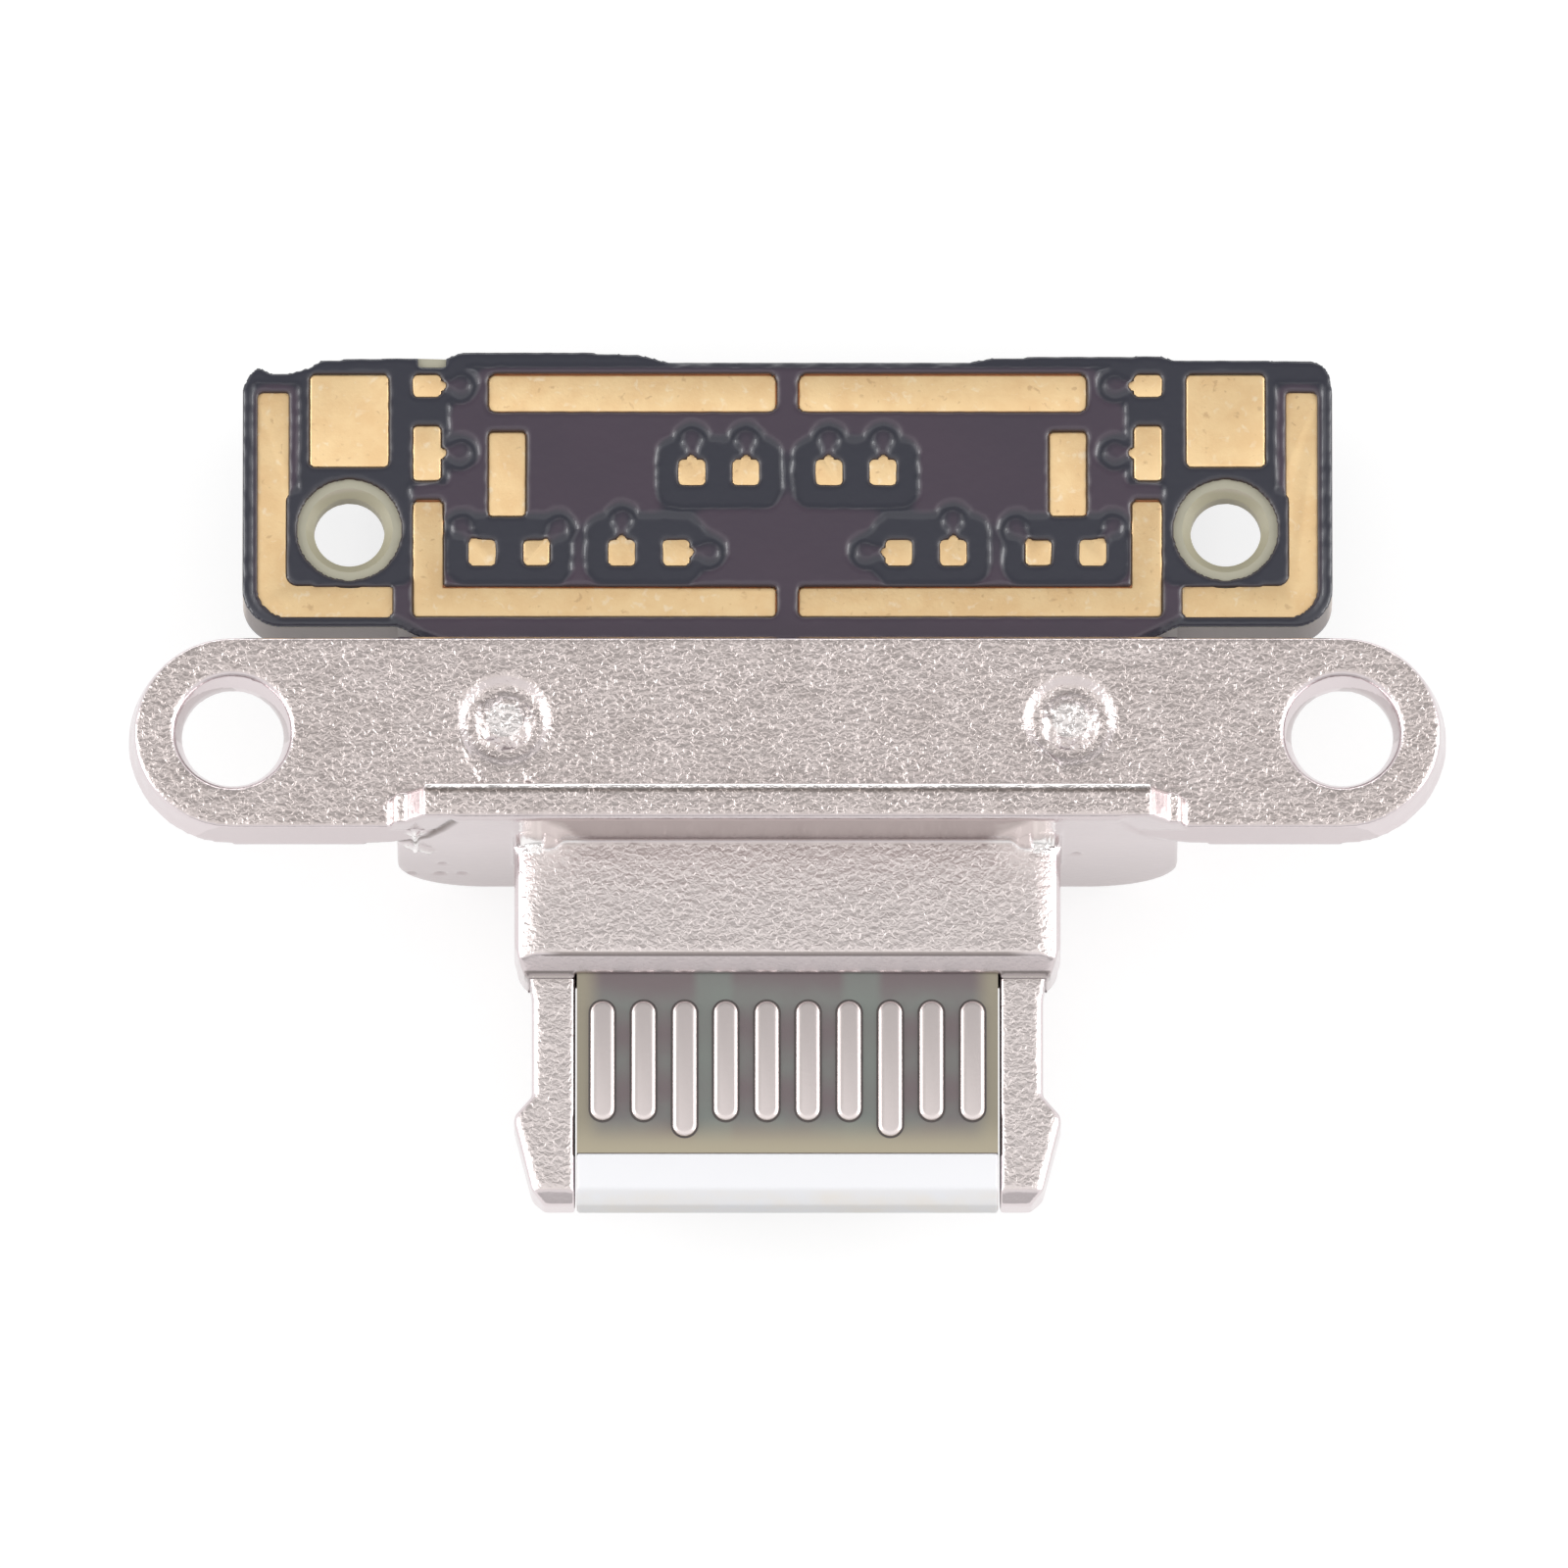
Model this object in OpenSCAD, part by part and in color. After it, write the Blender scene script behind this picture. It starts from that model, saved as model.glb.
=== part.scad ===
// USB-C socket with a two-eared metal frame, a circuit board tongue and bare solder pads.
// Millimetres. X runs along the ears, the plug comes in from -Y, and +Z is up.
// The origin is midway between the two screw holes, level with the ears' undersides.

/* [Ears and plate] */
// Distance between the two screw holes
screw_pitch = 13.5; // [13:0.1:15]
// Radius of each ear's round end, at its top face
ear_r = 1.2; // [1.1:0.01:1.4]
// Thickness of the ears
ear_t = 0.5; // [0.4:0.05:0.7]
// How far the ears' walls lean out from top to bottom
ear_draft = 0.08; // [0.01:0.01:0.1]
// How far the ears' outline sits in front of the screw holes
ear_shift = 0.02; // [0:0.01:0.1]
// Radius of the straight land in each screw hole
screw_hole_r = 0.62; // [0.5:0.01:0.65]
// Height of the straight land in each screw hole
screw_land_h = 0.2; // [0.1:0.05:0.3]
// How much wider the screw hole is at its mouth, in radius
screw_mouth_flare = 0.08; // [0.02:0.01:0.15]
// Rounding of the plate's top edges
plate_round = 0.05; // [0.02:0.01:0.08]

/* [Flange] */
// Width of the flange that closes the port
flange_w = 9.5; // [9.2:0.1:10]
// Height of the flange, centred on the tongue
flange_h = 3.27; // [3:0.05:3.6]
// How far the flange stands in front of the ears' top edge
flange_step = 0.015; // [0.005:0.005:0.03]
// Radius of the flange's lower corners
flange_corner_r = 1.05; // [0.6:0.05:1.3]
// Width of the proud front boss at its narrowest
boss_w = 8.1; // [7.5:0.1:8.4]
// How far the boss stands proud of the flange
boss_proud = 0.03; // [0.02:0.01:0.08]
// Radius of the hollow curve that blends the boss into the ears
boss_blend_r = 1.05; // [0.8:0.05:1.05]

/* [Lip] */
// Thickness of the lip along the plate's front edge
lip_t = 0.4; // [0.3:0.05:0.6]
// Width of the lip along its top
lip_top_w = 8.9; // [8:0.1:9]
// Width of the lip at the shoulder part way down its ends
lip_shoulder_w = 9.3; // [9.1:0.1:9.5]
// Width of the lip where it meets the plate
lip_base_w = 9.7; // [9.5:0.05:10]
// Height of the shoulder above the plate
lip_shoulder_h = 0.28; // [0.2:0.02:0.4]
// Rounding of the lip's edges
lip_round = 0.07; // [0.03:0.01:0.1]
// Fillet behind the lip
lip_fillet = 0.06; // [0.03:0.01:0.12]
// How far the lip's low end steps stay in front of its rear edge
lip_end_setback = 0.04; // [0.02:0.01:0.1]

/* [Neck] */
// Width of the neck behind the tongue
neck_w = 6.65; // [6.5:0.05:7]
// Thickness of the neck
neck_t = 1.25; // [1.1:0.05:1.4]
// Length of the neck's flat top, from the flange's front
neck_len = 1.42; // [1.3:0.01:1.7]
// How far the step in front of the neck slopes forward
neck_step_run = 0.17; // [0.05:0.01:0.2]
// Rounding of the neck's long edges
neck_round = 0.25; // [0.1:0.01:0.27]
// Size of the cut across each front corner of the neck
neck_corner_cut = 0.12; // [0.05:0.01:0.18]
// Width of the gusset where each side of the neck meets the lip
gusset_w = 0.6; // [0.3:0.05:0.8]
// How far the gussets reach along the neck
gusset_len = 0.12; // [0.08:0.01:0.25]

/* [Tongue] */
// Length of the tongue in front of the flange
tongue_len = 4.485; // [4.45:0.005:4.8]
// Thickness of the tongue and of the whole circuit board
tongue_t = 0.7; // [0.6:0.05:0.8]
// Width of the window between the side rails
window_w = 5.16; // [5.1:0.02:5.4]
// Play between the board and the rails on each side
side_play = 0.02; // [0.01:0.01:0.05]
// Distance from the ears' undersides down to the tongue's middle
tongue_drop = 0.535; // [0.48:0.005:0.58]
// Length of the white plastic nose
nose_len = 0.62; // [0.5:0.01:0.75]
// How far back the tip's sloped faces reach
tip_slope_run = 0.17; // [0.1:0.01:0.3]
// How far down the tip's sloped faces reach
tip_slope_drop = 0.165; // [0.1:0.005:0.25]

/* [Rails and latch hooks] */
// Width of each side rail
rail_w = 0.53; // [0.4:0.01:0.6]
// Edge chamfer of the rails
rail_chamfer = 0.07; // [0.03:0.01:0.1]
// Length of the fillet from the neck to each rail
rail_fillet_len = 0.28; // [0.15:0.01:0.5]
// How far each hook stands out from its rail
hook_reach = 0.22; // [0.15:0.01:0.3]
// Distance from the tip back to where the hook begins
hook_start = 1.35; // [1.2:0.01:1.6]
// Length of the hook's steep rear slope
hook_slope_len = 0.22; // [0.15:0.01:0.4]
// Length of the flat crest on the hook
hook_crest_len = 0.1; // [0.05:0.01:0.2]
// Width of the rail's end at the tip
rail_tip_w = 0.38; // [0.25:0.01:0.45]

/* [Contacts] */
// Number of contacts on each face of the tongue
contact_count = 10; // [6:2:10]
// Distance between neighbouring contacts
contact_pitch = 0.5; // [0.45:0.01:0.5]
// Width of each contact
contact_w = 0.3; // [0.25:0.01:0.35]
// Length of a signal contact
contact_len = 1.51; // [1.2:0.01:1.7]
// Distance from the tip to the signal contacts' front ends
contact_setback = 1.02; // [0.95:0.01:1.2]
// How much further forward the two supply contacts reach
supply_extra = 0.198; // [0:0.01:0.25]
// Distance of the supply contacts from the middle
supply_x = 1.25; // [0.75:0.5:1.75]
// Height of the contacts above the board
contact_h = 0.05; // [0.03:0.01:0.08]
// Width of the sloped edge round each contact
contact_bevel = 0.06; // [0.03:0.005:0.08]

/* [Circuit board] */
// Distance between the board's two locating holes
locating_pitch = 10.68; // [10.5:0.02:10.8]
// Distance from the screw holes back to the locating holes
locating_y = 2.71; // [2.65:0.01:2.8]
// Radius of the locating holes
locating_r = 0.43; // [0.35:0.01:0.45]
// Radius of each locating hole's flared mouths
locating_mouth_r = 0.53; // [0.5:0.01:0.58]
// Depth of the upper mouth
locating_mouth_h = 0.1; // [0.05:0.01:0.2]
// Height of the straight land in each locating hole
locating_land_h = 0.25; // [0.15:0.05:0.35]
// Distance from each locating hole to the side of the board
board_side = 1.3; // [1.25:0.01:1.5]
// Distance from the screw holes back to the board's wide part
board_front = 1.486; // [1.4:0.01:1.5]
// Distance from the screw holes back to the board's rear edge
board_rear = 4.88; // [4.84:0.01:5.1]
// Radius of the board's front corners
board_corner_r = 0.48; // [0.3:0.01:0.6]
// How far the rear edge wanders where the board was snapped off its panel
snap_depth = 0.2; // [0.05:0.01:0.22]
// Width of the shoulder that sits in the frame
shoulder_w = 8.6; // [8.2:0.05:8.9]
// Thickness of the flange in front of the board's shoulder
shoulder_wall = 0.85; // [0.6:0.05:1.2]
// How much wider the shoulder is where it meets the wide part, on each side
shoulder_flare = 0.45; // [0.2:0.01:0.6]
// Gap between the back of the frame and the solder mask
mask_gap = 0.02; // [0.01:0.01:0.05]

/* [Copper and solder mask] */
// Thickness of the copper with its plating
copper_t = 0.035; // [0.02:0.005:0.045]
// Thickness of the solder mask
mask_t = 0.05; // [0.05:0.005:0.07]
// Bare ring round each locating hole, beyond the hole's mouth
bare_ring = 0.11; // [0.08:0.01:0.13]
// How far the copper keeps off that bare ring
ring_clear = 0.1; // [0.08:0.01:0.13]
// Edge between the copper and the board's outline
copper_margin = 0.12; // [0.08:0.01:0.16]
// Distance from the outer ground pads to the board's side
pad_margin = 0.18; // [0.17:0.01:0.2]
// Corner radius of the pads
pad_round = 0.06; // [0.03:0.01:0.08]
// Width of the ground pads' arms
ground_arm_w = 0.38; // [0.3:0.01:0.4]
// Distance from each locating hole in to the inner ground pad
inner_pad_reach = 0.77; // [0.72:0.01:0.85]
// Gap between the inner and the outer ground pad
ground_gap = 0.24; // [0.2:0.01:0.3]
// Gap between the pads that meet at the middle line, on each side of it
middle_gap = 0.13; // [0.1:0.01:0.2]
// Distance from the board's rear edge to the rear pads
rear_margin = 0.21; // [0.21:0.01:0.25]
// Depth of the rear supply pads
supply_bar_d = 0.48; // [0.4:0.01:0.5]
// Width of the upright supply pads
upright_w = 0.475; // [0.4:0.005:0.5]
// Length of the upright supply pads
upright_d = 1.07; // [0.9:0.01:1.1]
// Distance from the supply pads out to the inner ground pads
supply_gap = 0.535; // [0.5:0.005:0.6]
// Width of the corner pads
corner_pad_w = 0.97; // [0.8:0.01:1]
// Depth of the corner pads
corner_pad_d = 1.17; // [1:0.01:1.2]
// Depth of the small pads
small_pad_d = 0.285; // [0.25:0.005:0.3]
// Depth of the narrow pads
narrow_pad_d = 0.7; // [0.6:0.01:0.72]
// Size of the square signal pads
signal_pad_w = 0.33; // [0.28:0.01:0.36]
// Distance between the two signal pads of a pair
signal_pitch = 0.66; // [0.62:0.01:0.7]
// Width of the clear pocket round each pair
pocket_w = 1.54; // [1.5:0.01:1.56]
// Depth of that pocket
pocket_d = 0.88; // [0.84:0.01:0.9]
// Rounding of the pocket's corners
pocket_round = 0.22; // [0.1:0.01:0.3]
// Distance from the middle of a signal pad to its via
via_reach = 0.4; // [0.36:0.01:0.42]
// Radius of the copper land round each via
via_land_r = 0.12; // [0.1:0.01:0.14]
// Radius of the clear circle round each via
via_clear_r = 0.23; // [0.2:0.01:0.26]

/* [Gate marks] */
// Distance of each gate mark from the middle
gate_x = 3.44; // [3.2:0.02:3.6]
// Distance of the gate marks behind the screw holes
gate_y = 0.13; // [0:0.01:0.2]
// Radius of the recess round each gate mark
gate_r = 0.58; // [0.5:0.01:0.62]
// Radius of the broken-off gate stub
gate_stub_r = 0.32; // [0.2:0.01:0.35]
// Depth of the recess
gate_depth = 0.07; // [0.04:0.01:0.1]

/* [Hidden] */
$fn = 64;
SIDES = ["left", "right"];
PAD_NAMES = ["outer_ground_pad", "inner_ground_pad", "rear_supply_pad", "upright_supply_pad",
             "corner_pad", "small_pad", "narrow_pad"];
SIGNAL_PAD_COUNT = 6;

// Overshoot that keeps cuts clean of the faces they pass through
over = 0.1;
// Steps in each small rounded edge
round_steps = 4;

// Heights
plate_top = ear_t;
tongue_mid = -tongue_drop;
board_top = tongue_mid + tongue_t / 2;
board_bottom = tongue_mid - tongue_t / 2;
lip_top = tongue_mid + flange_h / 2;
flange_bottom = tongue_mid - flange_h / 2;
neck_top = tongue_mid + neck_t / 2;
neck_bottom = tongue_mid - neck_t / 2;

// Places along Y, negative towards the plug
ear_y = -ear_shift;
plate_rear = ear_y + ear_r + ear_draft;
flange_front = ear_y - ear_r - flange_step;
boss_front = flange_front - boss_proud;
tip_y = boss_front - tongue_len;
neck_front_top = boss_front - neck_len;
neck_front = neck_front_top - neck_step_run;
shoulder_y = boss_front + shoulder_wall;
lip_rear = flange_front + lip_t;
nose_rear = tip_y + nose_len;
hook_y = tip_y + hook_start;
mask_front = plate_rear + mask_gap;

// Widths from the middle
window_half = window_w / 2;
tongue_half = window_half - side_play;
rail_half = window_half + rail_w;
hook_half = rail_half + hook_reach;
shoulder_half = shoulder_w / 2;
locating_x = locating_pitch / 2;
board_half = locating_x + board_side;

// Points along a round corner of radius r about c, from one angle to another
function arc(c, r, from, to, steps) =
    [for (i = [0:steps]) let (a = from + (to - from) * i / steps) c + r * [cos(a), sin(a)]];

// The same points on the other side of the first axis, in reverse order
function mirrored(points) =
    [for (i = [len(points) - 1:-1:0]) [-points[i][0], points[i][1]]];

module both_sides() {
    children();
    mirror([1, 0, 0]) children();
}

// Turns a profile drawn in Y and Z into a bar of the given half width along X
module along_x(half) {
    rotate([90, 0, 90]) linear_extrude(2 * half, center = true) children();
}

// Turns a profile drawn in X and Z into a bar from y_front to y_back
module along_y(y_front, y_back) {
    translate([0, y_back, 0]) rotate([90, 0, 0]) linear_extrude(y_back - y_front) children();
}

module rounded_box_2d(x0, y0, x1, y1, r) {
    translate([x0 + r, y0]) square([x1 - x0 - 2 * r, y1 - y0]);
    translate([x0, y0 + r]) square([x1 - x0, y1 - y0 - 2 * r]);
    for (x = [x0 + r, x1 - r], y = [y0 + r, y1 - r]) translate([x, y]) circle(r);
}

// Metal frame

// One half of the plate's cross-section, with drafted walls and rounded top edges
plate_half_section = concat(
    [[0, 0], [ear_r + ear_draft, 0]],
    arc([ear_r - plate_round, plate_top - plate_round], plate_round, 0, 90, round_steps),
    [[0, plate_top]]);

module ear_plate() {
    difference() {
        translate([0, ear_y, 0]) {
            along_x(screw_pitch / 2) {
                polygon(plate_half_section);
                mirror([1, 0]) polygon(plate_half_section);
            }
            both_sides() translate([screw_pitch / 2, 0, 0])
                rotate_extrude() polygon(plate_half_section);
        }
        along_y(boss_front - ear_r, boss_front) boss_outline();
    }
}

module flange_section(top) {
    half = flange_w / 2;
    r = flange_corner_r;
    translate([-half, flange_bottom + r]) square([flange_w, top - flange_bottom - r]);
    translate([r - half, flange_bottom]) square([flange_w - 2 * r, 2 * r]);
    for (x = [r - half, half - r]) translate([x, flange_bottom + r]) circle(r);
}

// Solid block below the plate that holds the board and stands on its flat underside
module flange_block() {
    along_y(flange_front, plate_rear) flange_section(ear_t / 2);
}

// Outline of the front face, which sweeps out over the ears in two hollow curves
module boss_outline() {
    foot = boss_w / 2 + boss_blend_r;
    flange_section(plate_round);
    difference() {
        translate([-foot, 0]) square([2 * foot, lip_top - lip_round]);
        both_sides() {
            translate([foot, boss_blend_r]) circle(boss_blend_r);
            translate([boss_w / 2, boss_blend_r]) square(2 * boss_blend_r);
        }
    }
}

module front_boss() {
    along_y(boss_front, ear_y - ear_r + plate_round) boss_outline();
}

module lip() {
    shoulder_z = plate_top + lip_shoulder_h;
    end = concat(
        [[lip_base_w / 2, plate_top - plate_round]],
        arc([lip_shoulder_w / 2 + lip_round, shoulder_z - lip_round], lip_round, 0, 90, round_steps),
        [[lip_shoulder_w / 2, shoulder_z]],
        arc([lip_top_w / 2 - lip_round, lip_top - lip_round], lip_round, 0, 90, round_steps));
    intersection() {
        along_y(flange_front - boss_proud, lip_rear + lip_fillet) polygon(concat(end, mirrored(end)));
        linear_extrude(flange_h, center = true) polygon([
            [-lip_base_w / 2, boss_front], [lip_base_w / 2, boss_front],
            [lip_base_w / 2, lip_rear - lip_end_setback], [lip_shoulder_w / 2, lip_rear],
            [lip_top_w / 2, lip_rear + lip_fillet], [-lip_top_w / 2, lip_rear + lip_fillet],
            [-lip_shoulder_w / 2, lip_rear], [-lip_base_w / 2, lip_rear - lip_end_setback]]);
        along_x(lip_base_w) polygon(concat(
            [[flange_front, plate_top - plate_round],
             [lip_rear + lip_fillet, plate_top - plate_round],
             [lip_rear + lip_fillet, plate_top]],
            arc([lip_rear + lip_fillet, plate_top + lip_fillet], lip_fillet, 270, 180, round_steps),
            arc([lip_rear - lip_round, lip_top - lip_round], lip_round, 0, 90, round_steps),
            arc([flange_front + lip_round / 2, lip_top - lip_round / 2], lip_round / 2, 90, 180,
                round_steps)));
    }
}

// Neck behind the tongue: rounded along its sides, stepped at its front, cut at its corners
module neck() {
    corner_run = neck_corner_cut + neck_step_run;
    intersection() {
        along_y(neck_front, flange_front + over)
            rounded_box_2d(-neck_w / 2, neck_bottom, neck_w / 2, neck_top, neck_round);
        along_x(neck_w) polygon([
            [flange_front + over, neck_top], [neck_front_top, neck_top], [neck_front, board_top],
            [neck_front, board_bottom], [neck_front_top, neck_bottom],
            [flange_front + over, neck_bottom]]);
        linear_extrude(neck_t * 4, center = true) polygon([
            [-neck_w / 2, flange_front + over], [-neck_w / 2, neck_front + corner_run],
            [neck_corner_cut - neck_w / 2, neck_front], [neck_w / 2 - neck_corner_cut, neck_front],
            [neck_w / 2, neck_front + corner_run], [neck_w / 2, flange_front + over]]);
    }
}

// Corner web that carries the neck's rounded edge up to the lip and fades out along the wall
module gusset() {
    side = neck_w / 2;
    hull() {
        along_y(boss_front - gusset_len, boss_front + over)
            translate([side - neck_round, neck_top - neck_round]) circle(neck_round);
        along_y(boss_front, boss_front + over)
            translate([side - neck_round, lip_top - lip_round - neck_round]) circle(neck_round);
        translate([side - gusset_w, boss_front, neck_top - neck_round])
            cube([gusset_w, over, neck_round]);
    }
}

// Side rail with its latch hook, chamfered all round
module rail() {
    half_t = tongue_t / 2;
    inner_cut = rail_chamfer / 2;
    translate([0, 0, tongue_mid]) {
        along_y(hook_y - hook_slope_len, neck_front + over) polygon([
            [window_half, half_t - inner_cut], [window_half + inner_cut, half_t],
            [rail_half - rail_chamfer, half_t], [rail_half, half_t - rail_chamfer],
            [rail_half, rail_chamfer - half_t], [rail_half - rail_chamfer, -half_t],
            [window_half + inner_cut, -half_t], [window_half, inner_cut - half_t]]);
        hull() {
            linear_extrude(tongue_t - 2 * rail_chamfer, center = true) hook_outline(0);
            linear_extrude(tongue_t, center = true) hook_outline(rail_chamfer);
        }
        linear_extrude(tongue_t, center = true) rail_fillet();
    }
}

// Outline of the hook and the rail's end, drawn in all round by inset. The crest is rounded off.
module hook_outline(inset) {
    crest_y = hook_y - hook_slope_len;
    end_y = tip_y + tip_slope_run;
    soft = hook_crest_len / 2;
    inner = window_half + inset / 2;
    polygon([
        [inner, hook_y], [rail_half - inset, hook_y],
        [hook_half - inset - soft, crest_y + soft / 2], [hook_half - inset - soft / 4, crest_y - soft / 2],
        [hook_half - inset, crest_y - 2 * soft], [rail_half - inset, end_y + inset],
        [window_half + (rail_w + rail_tip_w) / 2 - inset, (end_y + tip_y) / 2],
        [window_half + rail_tip_w - inset, tip_y], [inner, tip_y]]);
}

// Hollow curve from the neck's side down to the rail
module rail_fillet() {
    out = neck_w / 2 - neck_corner_cut - rail_half;
    polygon(concat(
        [[rail_half - rail_chamfer, neck_front + over], [rail_half + out, neck_front + over]],
        [for (i = [0:round_steps]) let (a = 90 * i / round_steps)
            [rail_half + out * (1 - sin(a)), neck_front - rail_fillet_len * (1 - cos(a))]],
        [[rail_half - rail_chamfer, neck_front - rail_fillet_len]]));
}

// Space for everything in front of the neck, sloped at the tip above and below
module tip_envelope(half, y_back) {
    along_x(half) translate([0, tongue_mid]) polygon([
        [y_back, tongue_t / 2], [tip_y + tip_slope_run, tongue_t / 2],
        [tip_y, tongue_t / 2 - tip_slope_drop], [tip_y, tip_slope_drop - tongue_t / 2],
        [tip_y + tip_slope_run, -tongue_t / 2], [y_back, -tongue_t / 2]]);
}

// Slot through the block and the neck that the board fills
module board_slot() {
    translate([0, 0, board_bottom]) {
        translate([-shoulder_half - side_play, shoulder_y, 0])
            cube([shoulder_w + 2 * side_play, plate_rear - shoulder_y + over, tongue_t]);
        translate([-window_half, neck_front - over, 0])
            cube([window_w, shoulder_y - neck_front + 2 * over, tongue_t]);
    }
}

module screw_hole() {
    mouth_r = screw_hole_r + screw_mouth_flare;
    translate([screw_pitch / 2, 0, 0]) {
        translate([0, 0, -over]) cylinder(r = screw_hole_r, h = ear_t + 2 * over);
        rotate_extrude() polygon(concat(
            [[0, screw_land_h], [screw_hole_r, screw_land_h], [mouth_r, plate_top - plate_round]],
            [[mouth_r + plate_round, plate_top], [mouth_r + plate_round, plate_top + over],
             [0, plate_top + over]]));
    }
}

// Dished ring left round a broken-off casting gate
module gate_mark() {
    floor_r = (gate_r + gate_stub_r) / 2;
    translate([gate_x, gate_y, plate_top]) rotate_extrude() polygon([
        [gate_stub_r, over], [gate_stub_r, 0], [gate_stub_r + gate_depth / 2, -gate_depth],
        [floor_r, -gate_depth], [gate_r, 0], [gate_r, over]]);
}

module metal_frame() {
    color([0.76, 0.73, 0.72]) difference() {
        union() {
            ear_plate();
            flange_block();
            front_boss();
            lip();
            neck();
            intersection() {
                both_sides() rail();
                tip_envelope(hook_half + over, neck_front + over);
            }
            both_sides() gusset();
        }
        board_slot();
        both_sides() {
            screw_hole();
            gate_mark();
        }
    }
}

// Circuit board

// Rear edge, snapped and filed unevenly, left to right: share of the half width, and how far
// it stands out there, as a share of snap_depth
snapped_edge = [
    [-1, -2], [-0.988, -1.1], [-0.973, -0.6], [-0.949, -1], [-0.919, -1.05], [-0.877, -0.65],
    [-0.855, -0.15], [-0.684, 0], [-0.627, -0.05], [-0.595, 0.35], [-0.39, 0.35], [-0.268, 0.15],
    [-0.218, -0.3], [0.33, -0.3], [0.384, 0], [0.684, 0.1], [0.708, -0.15], [0.964, -0.2],
    [0.983, -0.5], [0.995, -1.1], [1, -2.2]];
// The notch in the mask at that edge, between these shares of the half width
edge_notch = [-0.678, -0.627];

module board_wide_2d() {
    r = board_corner_r;
    front = [[board_half, board_front + r], [board_half - r, board_front],
             [shoulder_half + shoulder_flare, board_front], [shoulder_half, mask_front]];
    rear = [for (p = snapped_edge) [p[0] * board_half, board_rear + p[1] * snap_depth]];
    polygon(concat(rear, front, mirrored(front)));
    both_sides() translate([board_half - r, board_front + r]) circle(r);
}

module locating_holes_2d(r) {
    both_sides() translate([locating_x, locating_y]) circle(r);
}

module circuit_board() {
    color([0.62, 0.6, 0.47]) difference() {
        union() {
            translate([0, 0, board_bottom]) linear_extrude(tongue_t) {
                board_wide_2d();
                translate([-shoulder_half, shoulder_y])
                    square([shoulder_w, mask_front - shoulder_y + over]);
            }
            translate([-tongue_half, nose_rear, board_bottom])
                cube([2 * tongue_half, shoulder_y - nose_rear + over, tongue_t]);
        }
        both_sides() translate([locating_x, locating_y, 0]) locating_hole();
    }
}

// Hole with a flared mouth at both faces of the board
module locating_hole() {
    land_top = board_top - locating_mouth_h;
    land_bottom = land_top - locating_land_h;
    rotate_extrude() polygon([
        [0, board_bottom - over], [locating_mouth_r, board_bottom - over],
        [locating_mouth_r, board_bottom], [locating_r, land_bottom], [locating_r, land_top],
        [locating_mouth_r, board_top], [locating_mouth_r, board_top + over],
        [0, board_top + over]]);
}

module tongue_nose() {
    color([0.95, 0.95, 0.97]) tip_envelope(tongue_half, nose_rear);
}

// Contacts

module contact(x) {
    extra = abs(abs(x) - supply_x) < contact_pitch / 2 ? supply_extra : 0;
    rear = tip_y + contact_setback + contact_len - contact_w / 2;
    front = tip_y + contact_setback - extra + contact_w / 2;
    face_w = contact_w - 2 * contact_bevel;
    color([0.78, 0.74, 0.74]) translate([x, 0, 0]) {
        for (y = [front, rear]) translate([0, y, 0])
            cylinder(r1 = contact_w / 2, r2 = face_w / 2, h = contact_h);
        along_y(front, rear) polygon([
            [-contact_w / 2, 0], [contact_w / 2, 0], [face_w / 2, contact_h], [-face_w / 2, contact_h]]);
    }
}

module contact_top(i) {
    translate([0, 0, board_top]) contact((i - (contact_count + 1) / 2) * contact_pitch);
}

module contact_bottom(i) {
    translate([0, 0, board_bottom]) rotate([0, 180, 0])
        contact((i - (contact_count + 1) / 2) * contact_pitch);
}

// Copper. Every outline is drawn for the right half, with X from the middle.

// The two ground pads lie round the locating hole: a column each, and an arm along the front
outer_x1 = board_half - pad_margin;
outer_x0 = outer_x1 - ground_arm_w;
inner_x1 = locating_x - inner_pad_reach;
inner_x0 = inner_x1 - ground_arm_w;
outer_arm_x = inner_x1 + ground_gap;
arm_y = board_front + copper_margin;
arm_rear = arm_y + ground_arm_w;
ring_r = locating_mouth_r + bare_ring;
hole_clear_r = ring_r + ring_clear;
pads_rear = board_rear - rear_margin;
copper_rear = board_rear - copper_margin;
supply_x1 = inner_x0 - supply_gap;

// The signal pads lie in pairs, each pair in a pocket: one pair behind, two in front
front_pocket_y = arm_rear + pad_round / 2;
front_row_y = front_pocket_y + pocket_d * 0.46;
rear_pocket_y = front_pocket_y + pocket_d + 0.35 * via_clear_r;
rear_row_y = rear_pocket_y + pocket_d * 0.52;
rear_pair_x = middle_gap / 2 + pocket_w / 2;
outer_pair_x = inner_x0 - pad_round / 2 - pocket_w / 2;
inner_pair_x = outer_pair_x - pocket_w - 0.7 * via_clear_r;
half_pitch = signal_pitch / 2;
// Each signal pad: its place, and the way its track leads, from the middle line to the rear
SIGNAL_PADS = [
    [rear_pair_x + half_pitch, rear_row_y, 90], [rear_pair_x - half_pitch, rear_row_y, 90],
    [inner_pair_x + half_pitch, front_row_y, 90], [inner_pair_x - half_pitch, front_row_y, 0],
    [outer_pair_x + half_pitch, front_row_y, 128], [outer_pair_x - half_pitch, front_row_y, 48]];

// Places of the small pads in the inner ground pad's column
small_y = pads_rear - small_pad_d / 2;
narrow_y = rear_pocket_y + narrow_pad_d;
inner_pad_rear = rear_pocket_y + ring_clear;
corner_x0 = inner_x0 - pad_round;
corner_y0 = pads_rear - corner_pad_d - via_clear_r;
side_via_x = inner_x0 - via_clear_r + pad_round / 2;
side_vias = [[side_via_x, small_y], [side_via_x, narrow_y]];

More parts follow.
